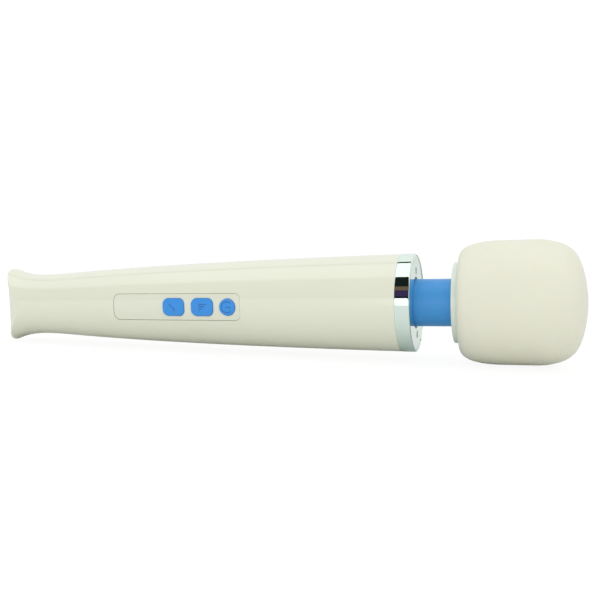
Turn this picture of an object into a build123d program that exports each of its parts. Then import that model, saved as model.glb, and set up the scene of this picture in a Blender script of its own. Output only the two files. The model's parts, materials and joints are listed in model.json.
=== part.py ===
"""A handheld wand massager, built as an assembly of separate pieces (millimetres).

The pieces are modelled lying along +X, with the tail's end at x = 0, the head at the far end, the control
panel facing -Y and +Z up.  At the end the whole wand is pitched a little and set down, so that it rests on
the lower corner of its tail and on the underside of its head, with the origin below the middle of its box.
"""
from build123d import *
from math import atan2, cos, degrees, exp, pi, radians, sin, sqrt
import os

# ---------------------------------------------------------------- driving dimensions: outside
handle_length = 236.0        # tail end to the rear edge of the chrome ring
waist_x = 29.0               # thinnest place of the handle
waist_radius = 17.4
grip_radius = 24.9           # at the chrome ring
grip_fullness = 1.6          # how early the handle thickens on its way from the waist to the ring
tail_flare = 3.9             # how far the tail's rim stands out past the waist
flare_power = 3.0
tail_end_radius = 17.7       # the half-round end face, a cylinder about a vertical axis
shell_wall = 2.2

ring_width = 7.4
ring_radius = 25.0
ring_wall = 2.0
ring_edge = 0.9              # rounding of the ring's front edge
end_plate_thickness = 1.6
end_plate_lip = 0.8          # ring metal left outside the end plate
neck_hole_clearance = 1.2

neck_length = 18.9           # the stretch that shows, from the end plate to the collar
neck_radius = 12.0
neck_wall = 2.6
neck_flange_thickness = 2.5
neck_rear_flange = 2.5       # how far each flange stands out past the neck
neck_front_flange = 4.5

collar_radius = 20.3
collar_thickness = 2.8

head_length = 59.8
head_radius = 30.6
head_face_radius = 22.6      # where the head's flat rear face turns into its shoulder
shoulder_length = 20.7       # rear face to the full radius
barrel_length = 11.0         # the straight middle of the head
cover_wall = 3.0
cover_clearance = 0.06       # between the soft cover and the hard core
cover_mouth_radius = 18.5
core_wall = 2.5

# ---------------------------------------------------------------- driving dimensions: control panel
panel_start = 79.9
panel_length = 75.5
panel_width = 14.1
panel_corner = 3.0
panel_thickness = 1.15
panel_groove = 0.14
panel_inset = 0.08           # the panel lies this little below the handle's surface

button_width = 9.4
button_corner = 3.1
pattern_length = 12.6
intensity_length = 12.6
power_diameter = 8.9
power_from_end = 6.9         # centre of the power button from the panel's front end
power_gap = 3.8              # bare panel between the power and intensity buttons
pattern_gap = 4.3            # and between the intensity and pattern buttons
button_proud = 0.8
button_travel = 0.8
button_clearance = 0.15
flange_lip = 0.9
flange_thickness = 1.0
post_radius = 2.4
shortest_post = 0.9

pad_height = 0.3
membrane_thickness = 0.9
membrane_width = 16.0
retainer_thickness = 0.9
switch_side = 6.0
switch_height = 3.5
plunger_radius = 1.6
plunger_proud = 1.0
board_width = 22.0
board_thickness = 1.6
board_overhang = 6.0         # board past each end of the panel
board_screw_inset = 3.0
board_screw_spread = 8.0

# ---------------------------------------------------------------- driving dimensions: inside the handle
jack_bezel_radius = 6.0
port_radius = 4.0
port_depth = 3.0
port_recess = 0.2            # the bezel's face from the tail's end
jack_radius = 5.5
jack_length = 11.5
jack_bore = 2.8
jack_bore_depth = 9.0
jack_pin_radius = 1.0
cap_recess = 0.3
cap_thickness = 2.5

cell_radius = 9.1
cell_length = 65.0
cell_start = 33.5
cell_gap = 2.2
cell_board_gap = 3.1
cradle_wall = 1.4
cradle_clearance = 0.15
band_width = 8.0
band_thickness = 0.8
rib_thickness = 1.6

motor_radius = 13.85
motor_length = 32.0
motor_wall = 1.0
motor_bell_length = 6.0
motor_to_ring = 8.0          # motor's front face from the handle's front end
magnet_thickness = 1.9
air_gap = 0.5
armature_length = 17.0
commutator_radius = 3.5
commutator_length = 4.0
motor_shaft_radius = 1.6
motor_boss_radius = 4.0
mount_thickness = 2.5
isolator_width = 7.0
isolator_from_rear = 6.0
wire_radius = 0.8

# ---------------------------------------------------------------- driving dimensions: drive and head
hub_radius = 4.5
hub_length = 8.0
spring_radius = 3.6
spring_wall = 1.3
guide_length = 5.0
guide_bore = 4.6
ecc_shaft_radius = 2.5
bearing_radius = 8.0
bearing_width = 5.0
bearing_seat_wall = 2.4
bearing_step = 3.5           # core wall between the neck's flange and the rear bearing
weight_length = 22.0
weight_clearance = 1.0
weight_hub_radius = 5.5
core_screw_boss = 3.4
core_boss_merge = 1.0        # how far each boss runs into the core's wall
core_split_from_face = 27.0
front_bearing_from_tip = 14.8

# ---------------------------------------------------------------- driving dimensions: fasteners and fits
casing_screw_radius = 1.3
casing_screw_head = 2.6
casing_boss_radius = 3.2
small_screw_radius = 0.9
small_screw_head = 1.8
small_screw_head_height = 1.2
fit = 0.15                   # gap round a piece that drops into another
running_fit = 0.05           # radial gap of a turning shaft
end_plate_screw_radius = 16.2
collar_screw_radius = 14.4
far = 60.0                   # longer than any cut needs

# ---------------------------------------------------------------- stations along the wand
ring_front = handle_length + ring_width
plate_back = ring_front - end_plate_thickness
collar_back = ring_front + neck_length
head_face = collar_back + collar_thickness
head_tip = head_face + head_length
neck_start = plate_back - neck_flange_thickness
neck_end = head_face + neck_flange_thickness
clamp_lip = plate_back - 2.0
clamp_back = clamp_lip - 5.0
spigot_radius = ring_radius - ring_wall - fit / 2

motor_front = handle_length - motor_to_ring
motor_rear = motor_front - motor_length
cell_front = cell_start + 2 * cell_length + cell_gap
panel_end = panel_start + panel_length
hub_start = motor_front + mount_thickness + 1.5
spring_start = hub_start + hub_length
spring_end = collar_back - 0.6
head_hub_end = spring_end + 6.5
bearing_rear = neck_end + bearing_step
bearing_front = head_tip - front_bearing_from_tip
weight_start = bearing_rear + bearing_width + 4.5
weight_end = weight_start + weight_length
core_split = head_face + core_split_from_face
neck_inner = neck_radius - neck_wall
core_outer_mouth = cover_mouth_radius - fit
core_inner_radius = head_radius - cover_wall - core_wall
core_boss_reach = core_inner_radius - 2 * core_screw_boss + core_boss_merge

power_x = panel_end - power_from_end
intensity_x = power_x - power_diameter / 2 - power_gap - intensity_length / 2
pattern_x = intensity_x - intensity_length / 2 - pattern_gap - pattern_length / 2
buttons = {
    "pattern": (pattern_x, pattern_length, button_width, button_corner),
    "intensity": (intensity_x, intensity_length, button_width, button_corner),
    "power": (power_x, power_diameter, power_diameter, power_diameter / 2 - 0.01),
}


# ---------------------------------------------------------------- shape helpers
def disc(x0, x1, radius, y=0.0, z=0.0):
    """A cylinder along X from x0 to x1."""
    return Pos((x0 + x1) / 2, y, z) * Rot(0, 90, 0) * Cylinder(radius, x1 - x0)


def tube(x0, x1, outer, inner, y=0.0, z=0.0):
    """A cylinder along X with a round hole right through."""
    return disc(x0, x1, outer, y, z) - disc(x0 - 1, x1 + 1, inner, y, z)


def block(x0, x1, y0, y1, z0, z1):
    """A box between two corners."""
    return Pos((x0 + x1) / 2, (y0 + y1) / 2, (z0 + z1) / 2) * Box(x1 - x0, y1 - y0, z1 - z0)


def peg(x, z, radius, y0, y1):
    """A cylinder along Y from y0 to y1."""
    return Pos(x, (y0 + y1) / 2, z) * Rot(90, 0, 0) * Cylinder(radius, y1 - y0)


def pad(x, length, width, corner, y0, y1):
    """A block with rounded corners, centred on (x, z = 0), from y0 to y1."""
    outline = RectangleRounded(length, width, corner)
    return Pos(x, 0, 0) * extrude(Plane.XZ.offset(-y1) * outline, y1 - y0)


def ring_of(count, radius, start=0.0):
    """Centres (y, z) of a ring of pieces about the wand's axis."""
    angles = [start + 360 * k / count for k in range(count)]
    return [(radius * cos(radians(a)), radius * sin(radians(a))) for a in angles]


def group(pieces):
    """Several separate solids kept in one node."""
    solids = []
    for piece in pieces:
        solids.extend(piece.solids())
    return Compound(solids)


def handle_radius(x):
    """Outer radius of the handle at x: a flared tail, then an easing swell up to the ring."""
    if x < waist_x:
        return waist_radius + tail_flare * ((waist_x - x) / waist_x) ** flare_power
    share = (x - waist_x) / (handle_length - waist_x)
    rise = (1 - exp(-grip_fullness * share)) / (1 - exp(-grip_fullness))
    return waist_radius + (grip_radius - waist_radius) * rise


def handle_solid(inset, x_end=None):
    """The handle's solid of revolution, inset (or outset, if negative) by a wall."""
    x_end = handle_length if x_end is None else x_end
    tail = [waist_x * share for share in (-0.2, 0.1, 0.4, 0.7, 1.0)]
    grip = [waist_x + (x_end - waist_x) * share for share in (0.08, 0.2, 0.38, 0.6, 0.8, 1.0)]
    points = [(x, handle_radius(x) - inset) for x in tail + grip]
    edge = Spline(*points)
    rest = Polyline(points[-1], (points[-1][0], 0), (points[0][0], 0), points[0])
    return revolve(make_face(edge + rest), Axis.X)


def rounded_end(radius):
    """Everything behind the half-round tail face of the given radius, to be cut away."""
    middle = tail_end_radius
    behind = block(-far, middle, -far, far, -far, far)
    return behind - Pos(middle, 0, 0) * Cylinder(radius, 3 * far)


def head_solid(inset=0.0):
    """The head's solid of revolution, with its faces moved in by a wall."""
    face, tip, radius = head_face + inset, head_tip - inset, head_radius - inset
    full = head_face + shoulder_length
    barrel = full + barrel_length
    run, climb, nose = full - face, radius - head_face_radius, tip - barrel
    shoulder = Bezier(
        (face, head_face_radius),
        (face, head_face_radius + 0.25 * climb),
        (face, radius),
        (full, radius),
    )
    dome = Spline(
        (barrel, radius),
        (barrel + 0.43 * nose, 0.971 * radius),
        (barrel + 0.66 * nose, 0.892 * radius),
        (barrel + 0.8 * nose, 0.78 * radius),
        (barrel + 0.893 * nose, 0.61 * radius),
        (barrel + 0.955 * nose, 0.4 * radius),
        (tip, 0),
        tangents=[(1, 0), (0, -1)],
    )
    top = Line(shoulder @ 1, dome @ 0)
    axis = Polyline(dome @ 1, (face, 0), shoulder @ 0)
    return revolve(make_face(shoulder + top + dome + axis), Axis.X)


def wire(points):
    """A round lead through a list of points, with arcs at its corners, and its arc radii."""
    radii = []
    path_points = [Vector(*p) for p in points]
    for before, here, after in zip(path_points, path_points[1:], path_points[2:]):
        run_in, run_out = here - before, after - here
        turn = radians(run_in.get_angle(run_out))
        radii.append(0.45 * min(run_in.length, run_out.length) / sin(turn / 2) * cos(turn / 2))
    path = FilletPolyline(*path_points, radius=radii)
    start = Plane(origin=path_points[0], z_dir=path_points[1] - path_points[0])
    lead = sweep(start * Circle(wire_radius), path=path)
    expected = pi * wire_radius ** 2 * path.length
    print(f"lead: radii {[round(r, 1) for r in radii]}, volume share {lead.volume / expected:.3f}")
    return lead


# ---------------------------------------------------------------- where the keypad stack lies
def flange_face(name):
    """Outer face (y) of a button's flange, just inside the casing wall."""
    x, length, width, _ = buttons[name]
    wall_radius = handle_radius(x - length / 2 - flange_lip) - shell_wall
    reach = width / 2 + flange_lip
    return -(sqrt(wall_radius ** 2 - reach ** 2) - 0.3)


pad_face = max(flange_face(name) for name in buttons) + flange_thickness + shortest_post
membrane_face = pad_face + pad_height
membrane_back = membrane_face + membrane_thickness
switch_face = membrane_back + plunger_proud
board_face = switch_face + switch_height
board_back = board_face + board_thickness
cell_y = board_back + cell_board_gap + cell_radius
board_x0 = panel_start - board_overhang
board_x1 = panel_end + board_overhang
board_screws = [(x, z) for x in (board_x0 + board_screw_inset, board_x1 - board_screw_inset)
                for z in (-board_screw_spread, board_screw_spread)]
casing_screws = [(waist_x - 3.5, 0.0), (motor_rear - 9.0, 12.0), (motor_rear - 9.0, -12.0)]
membrane_x0 = pattern_x - pattern_length / 2 - 4.0
membrane_x1 = power_x + power_diameter / 2 + 2.5


# ---------------------------------------------------------------- casing
def casing():
    """The whole handle casing before it is split into its two halves."""
    shell = handle_solid(0) + disc(handle_length - 1, plate_back, spigot_radius)
    shoulder = handle_length - 2.6
    cavity = handle_solid(shell_wall, handle_length) & disc(-far, shoulder, far)
    inner = spigot_radius - shell_wall
    cavity += disc(shoulder - 1, clamp_lip, inner)
    cavity += disc(clamp_lip - 1, plate_back + 1, inner - shell_wall)
    shell -= rounded_end(tail_end_radius)
    return shell - cavity, cavity


def motor_ribs(cavity):
    """Rings inside the casing that trap the motor's mount plate."""
    plate_radius = handle_radius(motor_front) - shell_wall
    ribs = []
    for x0 in (motor_front - rib_thickness - fit, motor_front + mount_thickness + fit):
        ribs.append((disc(x0, x0 + rib_thickness, far) & cavity) - disc(x0 - 1, x0 + 3, plate_radius - 3.0))
    return ribs


def screw_bosses(cavity, front):
    """The casing screws' bosses on one half; the front half takes the threads."""
    bosses = []
    for x, z in casing_screws:
        y0, y1 = (-far, -fit / 2) if front else (fit / 2, far)
        bosses.append(peg(x, z, casing_boss_radius, y0, y1) & cavity)
    return bosses


def front_shell():
    """Front half of the casing, with the panel's pocket, the button holes and the board's bosses."""
    shell, cavity = casing()
    for rib in motor_ribs(cavity):
        shell += rib
    for boss in screw_bosses(cavity, front=True):
        shell += boss
    for x, z in board_screws:
        shell += peg(x, z, 2.4, -far, board_face) & cavity
    shell &= block(-far, 10 * far, -far, 0, -far, far)
    pocket = pad((panel_start + panel_end) / 2, panel_length + 2 * panel_groove,
                 panel_width + 2 * panel_groove, panel_corner + panel_groove, -far, 0)
    shell -= pocket - handle_solid(panel_inset + panel_thickness)
    for x, length, width, corner in buttons.values():
        gap = 2 * button_clearance
        shell -= pad(x, length + gap, width + gap, corner + button_clearance, -far, 0)
    for x, z in casing_screws:
        shell -= peg(x, z, casing_screw_radius, -8.0, 1)
    for x, z in board_screws:
        shell -= peg(x, z, small_screw_radius, board_face - 4.0, board_face + 1)
    return shell


def rear_shell():
    """Rear half of the casing, with the battery's ribs and the casing screws' wells."""
    shell, cavity = casing()
    for rib in motor_ribs(cavity):
        shell += rib
    for boss in screw_bosses(cavity, front=False):
        shell += boss
    shell &= block(-far, 10 * far, 0, far, -far, far)
    trough = cell_radius + cradle_clearance + cradle_wall + fit
    for share in (0.12, 0.5, 0.88):
        x = cell_start + share * (cell_front - cell_start)
        rib = block(x, x + rib_thickness, cell_y, far, -far, far) & cavity
        shell += rib - disc(x - 1, x + 3, trough, cell_y)
    for x, z in casing_screws:
        shell -= peg(x, z, casing_screw_radius + 0.1, -1, far)
        shell -= peg(x, z, casing_screw_head + 0.15, screw_seat(x, z), far)
    return shell


def screw_seat(x, z):
    """Where (y) a casing screw's head seats in the rear half."""
    return sqrt((handle_radius(x) - 0.4) ** 2 - z ** 2) - 4.5


def casing_screw_set():
    """The casing's screws, driven in from behind."""
    screws = []
    for x, z in casing_screws:
        seat = screw_seat(x, z)
        screw = peg(x, z, casing_screw_radius, -7.5, seat + 0.2)
        head = peg(x, z, casing_screw_head, seat, seat + 2.0)
        screws.append(screw + head - block(x - 2, x + 2, seat + 1.2, seat + 3, z - 0.3, z + 0.3))
    return group(screws)


def tail_cap():
    """The plate in the half-round tail end, with a sleeve for the charge jack."""
    inside = handle_solid(shell_wall + fit)
    front_face = rounded_end(tail_end_radius - cap_recess)
    back_face = Pos(tail_end_radius, 0, 0) * Cylinder(tail_end_radius - cap_recess - cap_thickness, 3 * far)
    plate = (inside & block(-far, tail_end_radius - 5.0, -far, far, -far, far)) - front_face - back_face
    sleeve = disc(cap_recess + cap_thickness - 0.6, port_depth + jack_length * 0.7, jack_radius + 1.6)
    cap = plate + sleeve
    cap -= disc(-far, port_depth + 0.2, jack_bezel_radius + 0.02)
    return cap - disc(0, far, jack_radius + 0.05)


def jack_bezel():
    """The plain ring round the charging port."""
    ring = tube(port_recess, port_recess + port_depth, jack_bezel_radius, port_radius)
    return ring


def charge_jack():
    """The round charging socket behind the bezel."""
    x0 = port_depth + 0.2
    return disc(x0, x0 + jack_length, jack_radius) - disc(x0 - 1, x0 + jack_bore_depth, jack_bore)


def jack_pin():
    """The socket's centre pin, short of the socket's mouth."""
    x0 = port_depth + 0.2
    return disc(x0 + 1.2, x0 + jack_bore_depth, jack_pin_radius)


# ---------------------------------------------------------------- front end of the handle
def chrome_ring():
    """The bright ring that closes the two halves at the front."""
    ring = disc(handle_length, ring_front, ring_radius)
    ring = fillet(ring.edges().sort_by(Axis.X)[-1], ring_edge)
    ring -= disc(handle_length - 1, ring_front + 1, ring_radius - ring_wall)
    return ring - disc(plate_back, ring_front + 1, ring_radius - end_plate_lip)


def end_plate():
    """The bright plate in the ring's front, with a clear hole round the neck."""
    plate = disc(plate_back, ring_front - 0.3, ring_radius - end_plate_lip - 0.02)
    plate -= disc(plate_back - 1, ring_front + 1, neck_radius + neck_hole_clearance)
    for z in (-end_plate_screw_radius, end_plate_screw_radius):
        plate -= disc(plate_back - 1, ring_front + 1, small_screw_radius + 0.1, 0, z)
        plate -= disc(ring_front - 1.0, ring_front + 1, small_screw_head + 0.1, 0, z)
    return plate


def end_plate_screws():
    """The two screws of the end plate."""
    screws = []
    for z in (-end_plate_screw_radius, end_plate_screw_radius):
        head = disc(ring_front - 1.0, ring_front - 0.25, small_screw_head, 0, z)
        screw = head + disc(plate_back - 4.0, ring_front - 0.9, small_screw_radius, 0, z)
        screws.append(screw - block(ring_front - 0.6, ring_front, -1.2, 1.2, z - 0.2, z + 0.2))
    return group(screws)


def neck_clamp():
    """The disc behind the end plate that the neck's flange is clamped against."""
    inner = spigot_radius - shell_wall
    clamp = disc(clamp_back, clamp_lip - 0.02, inner - fit)
    clamp += disc(clamp_lip - 1, plate_back - 0.02, inner - shell_wall - fit)
    clamp -= disc(neck_start, plate_back + 1, neck_radius + neck_rear_flange + fit)
    clamp -= disc(clamp_back - 1, plate_back, neck_inner)
    for z in (-end_plate_screw_radius, end_plate_screw_radius):
        clamp -= disc(plate_back - 4.5, plate_back + 1, small_screw_radius + 0.02, 0, z)
    return clamp


def flex_neck():
    """The soft neck: a tube with a flange at each end."""
    neck = disc(neck_start, neck_end, neck_radius)
    neck += disc(neck_start, plate_back - 0.02, neck_radius + neck_rear_flange)
    neck += disc(head_face + 0.02, neck_end, neck_radius + neck_front_flange)
    neck -= disc(neck_start - 1, neck_end + 1, neck_inner)
    for y, z in ring_of(3, collar_screw_radius, 90):
        neck -= disc(head_face - 1, neck_end + 1, small_screw_radius + 0.1, y, z)
    return neck


# ---------------------------------------------------------------- control panel
def control_panel():
    """The flush strip that the buttons come through."""
    strip = pad((panel_start + panel_end) / 2, panel_length, panel_width, panel_corner, -far, 0)
    strip &= handle_solid(panel_inset) - handle_solid(panel_inset + panel_thickness - 0.02)
    for x, length, width, corner in buttons.values():
        gap = 2 * button_clearance
        strip -= pad(x, length + gap, width + gap, corner + button_clearance, -far, 0)
    return strip


def button(name):
    """A button: a crowned cap, a flange that keeps it in, and a post onto the keypad."""
    x, length, width, corner = buttons[name]
    face = flange_face(name)
    cap = pad(x, length, width, corner, -far, face + 0.2) & handle_solid(-button_proud)
    lip = 2 * flange_lip
    flange = pad(x, length + lip, width + lip, corner + flange_lip, face, face + flange_thickness)
    return cap + flange + peg(x, 0, post_radius, face, pad_face)


def keypad_membrane():
    """The soft sheet under the buttons, with a raised pad for each."""
    middle = (membrane_x0 + membrane_x1) / 2
    sheet = pad(middle, membrane_x1 - membrane_x0, membrane_width, 2.0, membrane_face, membrane_back)
    for x, *_ in buttons.values():
        sheet += peg(x, 0, post_radius + 0.8, pad_face, membrane_face + 0.1)
    return sheet


def keypad_retainer():
    """The plate that holds the membrane's edge, on four posts from the board."""
    middle = (membrane_x0 + membrane_x1) / 2
    y0 = membrane_back
    plate = pad(middle, membrane_x1 - membrane_x0, membrane_width, 2.0, y0, y0 + retainer_thickness)
    for x, *_ in buttons.values():
        side = switch_side / 2 + 0.6
        plate -= block(x - side, x + side, y0 - 1, y0 + 3, -side, side)
    for x in (membrane_x0 + 1.6, membrane_x1 - 1.6):
        for z in (-membrane_width / 2 + 1.8, membrane_width / 2 - 1.8):
            plate += peg(x, z, 1.2, y0 + retainer_thickness - 0.1, board_face)
    return plate


def tact_switches():
    """The three switch bodies on the board."""
    half = switch_side / 2
    bodies = []
    for x, *_ in buttons.values():
        body = block(x - half, x + half, switch_face, board_face, -half, half)
        bodies.append(body - peg(x, 0, plunger_radius + 0.08, switch_face - 1, switch_face + 2.2))
    return group(bodies)


def plunger(name):
    """A switch's plunger, which goes in with its button."""
    return peg(buttons[name][0], 0, plunger_radius, membrane_back, switch_face + 1.2)


def circuit_board():
    """The board behind the keypad."""
    length = board_x1 - board_x0
    board = pad((board_x0 + board_x1) / 2, length, board_width, 2.0, board_face, board_back)
    for x, z in board_screws:
        board -= peg(x, z, small_screw_radius + 0.15, board_face - 1, board_back + 1)
    return board


def board_components():
    """Chips, a capacitor and the lead sockets on both sides of the board."""
    mid = (board_x0 + panel_start) / 2
    y0, y1 = board_back, board_back + 1.2
    front = board_face
    parts = [
        block(pattern_x - 2.5, pattern_x + 2.5, y0, y1, 2.0, 7.0),
        block(intensity_x - 4.0, intensity_x + 1.0, y0, y1, -7.5, -2.5),
        block(power_x - 1.5, power_x + 1.5, y0, y1, 4.5, 6.5),
        block(power_x - 1.5, power_x + 1.5, y0, y1, -6.5, -4.5),
        block(mid + 8.0, mid + 12.0, front - 3.0, front, -3.5, 3.5),
        block(mid + 16.0, mid + 22.0, front - 1.6, front, 2.0, 8.0),
    ]
    parts.append(peg(mid + 19.0, -5.0, 2.6, front - 3.5, front))
    return group(parts)


def board_screw_set():
    """Four small screws that hold the board to the front half."""
    screws = []
    for x, z in board_screws:
        shank = peg(x, z, small_screw_radius, board_face - 3.5, board_back + 0.2)
        screws.append(shank + peg(x, z, small_screw_head, board_back, board_back + small_screw_head_height))
    return group(screws)


# ---------------------------------------------------------------- battery
def cell(x0):
    """A round cell with its raised positive end towards the head."""
    body = disc(x0, x0 + cell_length - 1.0, cell_radius, cell_y)
    return body + disc(x0 + cell_length - 1.5, x0 + cell_length, 3.2, cell_y)


def battery_tabs():
    """Thin strips that join the cells and lead off from each end."""
    y = cell_y
    middle = cell_start + cell_length
    rear = block(cell_start - 0.3, cell_start, y - 8, y + 3, -3, 3)
    front = block(cell_front, cell_front + 0.3, y - 8, y + 3, -3, 3)
    link = block(middle, middle + 0.3, y - 3, y + 8, -3, 3)
    link += block(middle + cell_gap - 0.3, middle + cell_gap, y - 3, y + 8, -3, 3)
    link += block(middle, middle + cell_gap, y + 7.7, y + 8, -3, 3)
    return group([rear, link, front])


def battery_cradle():
    """A trough behind the cells, with a stop at each end."""
    inner = cell_radius + cradle_clearance
    outer = inner + cradle_wall
    x0, x1 = cell_start - 0.5, cell_front + 0.5
    behind = block(x0 - 5, x1 + 5, cell_y + 0.5, far, -far, far)
    trough = tube(x0, x1, outer, inner, cell_y)
    for start, end in ((x0 - cradle_wall, x0), (x1, x1 + cradle_wall)):
        trough += tube(start, end, outer, inner - 3.5, cell_y)
    return trough & behind


def battery_bands():
    """Foam bands that hold each cell down in its trough."""
    bands = []
    inner = cell_radius + 0.02
    front_side = block(-far, 10 * far, -far, cell_y + 0.4, -far, far)
    for x in (cell_start + 0.3 * cell_length, cell_front - 0.3 * cell_length):
        bands.append(tube(x, x + band_width, inner + band_thickness, inner, cell_y) & front_side)
    return group(bands)


# ---------------------------------------------------------------- leads
def charge_lead():
    """From the charge jack forward along the casing to the board's rear end."""
    x0 = port_recess + port_depth + jack_length
    lane = cell_y - cell_radius - 2.6
    return wire([(x0, -1.0, 3.5), (x0 + 4, -1.0, 3.5), (x0 + 9, -3.4, 5.2), (x0 + 16, lane + 0.4, 5.8),
                 (x0 + 25, lane, 5.4), (x0 + 37, lane + 0.1, 5.6), (board_x0 - 12, lane - 0.3, 5.2),
                 (board_x0 - 5, board_face + 0.8, 4.9), (board_x0, board_face + 0.8, 4.9)])


def battery_lead():
    """From the front cell's strip round to the board's front end."""
    x0 = cell_front + 0.3
    lane = board_face + 0.8
    return wire([(x0, cell_y - 6.5, 0), (x0 + 2.6, cell_y - 6.5, 0), (x0 + 4.4, cell_y - 9.5, 0.8),
                 (x0 + 1.8, lane, 2.0), (board_x1, lane, 2.0)])


def motor_lead():
    """From the board's front end to the motor's rear terminals."""
    x1 = motor_rear
    lane = board_face + 0.8
    return wire([(board_x1, lane, -4.0), (board_x1 + 4, lane, -4.0), (board_x1 + 10, lane + 1.4, -5.2),
                 (board_x1 + 17, lane + 4.6, -6.6), (x1 - 9.5, 0, -7.4), (x1 - 4.2, 0, -7.4)])


# ---------------------------------------------------------------- motor
def motor_can():
    """The motor's steel can, open behind."""
    can = disc(motor_rear + motor_bell_length, motor_front, motor_radius)
    can += disc(motor_front - 0.5, motor_front + 1.4, motor_boss_radius)
    can -= disc(motor_rear, motor_front - motor_wall, motor_radius - motor_wall)
    can -= disc(motor_front - 2, motor_front + 3, motor_shaft_radius + 1.4)
    for y, z in ring_of(2, 8.0):
        can -= disc(motor_front - 2, motor_front + 1, small_screw_radius, y, z)
    return can


def motor_end_bell():
    """The plastic end that closes the can and carries the brushes."""
    bell = disc(motor_rear, motor_rear + motor_bell_length, motor_radius - 0.1)
    bell -= disc(motor_rear + 2.0, motor_rear + motor_bell_length + 1, motor_radius - 3.0)
    bell += disc(motor_rear, motor_rear + 4.5, motor_shaft_radius + 2.6)
    bell -= disc(motor_rear - 1, motor_rear + 6, motor_shaft_radius + 1.4)
    for z in (-7.4, 7.4):
        bell -= block(motor_rear - 1, motor_rear + 3, -1.3, 1.3, z - 0.3, z + 0.3)
    return bell


def motor_terminals():
    """The two blades that the motor's leads join."""
    return group([block(motor_rear - 4.2, motor_rear + 2.0, -1.25, 1.25, z - 0.25, z + 0.25)
                  for z in (-7.4, 7.4)])


def motor_magnets():
    """Two arcs of magnet in the can."""
    outer = motor_radius - motor_wall
    x0 = motor_rear + motor_bell_length + 2.5
    ring = tube(x0, x0 + armature_length + 2.0, outer, outer - magnet_thickness)
    gap = block(0, 10 * far, -far, far, -2.0, 2.0)
    return group([ring - gap])


def motor_bushes():
    """A plain bearing at each end of the motor."""
    bore = motor_shaft_radius + running_fit
    front = tube(motor_front - motor_wall - 1.5, motor_front + 1.2, motor_shaft_radius + 1.4, bore)
    rear = tube(motor_rear, motor_rear + 4.0, motor_shaft_radius + 1.4, bore)
    return group([front, rear])


def motor_mount():
    """The plate that carries the motor in the casing."""
    radius = handle_radius(motor_front) - shell_wall - 0.3
    plate = disc(motor_front, motor_front + mount_thickness, radius)
    plate -= disc(motor_front - 1, motor_front + 5, motor_boss_radius + fit)
    for y, z in ring_of(2, 8.0):
        plate -= disc(motor_front - 1, motor_front + 5, small_screw_radius + 0.1, y, z)
    return plate


def motor_screws():
    """Two screws through the mount into the motor's face."""
    screws = []
    x = motor_front + mount_thickness
    for y, z in ring_of(2, 8.0):
        screws.append(disc(motor_front - 0.9, x + 0.2, small_screw_radius - 0.02, y, z)
                      + disc(x, x + small_screw_head_height, small_screw_head, y, z))
    return group(screws)


def motor_isolator():
    """A rubber ring round the motor's rear that rests in the casing."""
    x0 = motor_rear + motor_bell_length + isolator_from_rear
    outer = handle_radius(x0) - shell_wall - 0.1
    ring = tube(x0, x0 + isolator_width, outer, motor_radius + 0.02)
    for y, z in ring_of(6, (outer + motor_radius) / 2, 30):
        ring -= disc(x0 - 1, x0 + isolator_width + 1, (outer - motor_radius) / 2 - 1.4, y, z)
    return ring


def motor_shaft():
    """The motor's shaft, from its rear bush to the coupling hub."""
    return disc(motor_rear + 0.6, hub_start + hub_length - 2.0, motor_shaft_radius)


def armature():
    """The wound core on the shaft."""
    x0 = motor_rear + motor_bell_length + 3.5
    radius = motor_radius - motor_wall - magnet_thickness - air_gap
    core = tube(x0, x0 + armature_length, radius, motor_shaft_radius + 0.02)
    for y, z in ring_of(5, radius - 0.6):
        core -= disc(x0 - 1, x0 + armature_length + 1, 1.6, y, z)
    return core


def commutator():
    """The copper segments behind the wound core."""
    x1 = motor_rear + motor_bell_length + 3.0
    return tube(x1 - commutator_length, x1, commutator_radius, motor_shaft_radius + 0.02)


def motor_hub():
    """The hub that joins the shaft to the drive spring."""
    hub = disc(hub_start, spring_start, hub_radius)
    return hub - disc(hub_start - 1, spring_start - 2.0, motor_shaft_radius + 0.02)


def drive_spring():
    """The flexible shaft through the neck."""
    return tube(spring_start, spring_end, spring_radius, spring_radius - spring_wall)


def guide_bush():
    """A ring in the middle of the neck that keeps the drive spring centred."""
    middle = (ring_front + collar_back) / 2
    return tube(middle - guide_length / 2, middle + guide_length / 2, neck_inner - 0.05, guide_bore)


# ---------------------------------------------------------------- head
def head_collar():
    """The pale disc between the neck and the head."""
    collar = tube(collar_back, head_face, collar_radius, neck_radius + fit)
    for y, z in ring_of(3, collar_screw_radius, 90):
        collar -= disc(collar_back - 1, head_face + 1, small_screw_radius + 0.1, y, z)
        collar -= disc(collar_back - 1, collar_back + 1.0, small_screw_head + 0.1, y, z)
    return collar


def collar_screws():
    """Three screws through the collar and the neck's flange into the core."""
    screws = []
    for y, z in ring_of(3, collar_screw_radius, 90):
        head = disc(collar_back + 0.1, collar_back + 1.0, small_screw_head, y, z)
        screws.append(head + disc(collar_back + 0.9, neck_end + 3.0, small_screw_radius, y, z))
    return group(screws)


def head_cover():
    """The soft cover over the whole head."""
    cover = head_solid() - head_solid(cover_wall)
    return cover - disc(head_face - 1, head_face + cover_wall + 1, cover_mouth_radius)


def core_bosses(x0, x1):
    """Bosses of the four screws that close the core."""
    radius = core_boss_reach + core_screw_boss
    return [(disc(x0, x1, core_screw_boss, y, z), y, z) for y, z in ring_of(4, radius, 45)]


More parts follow.
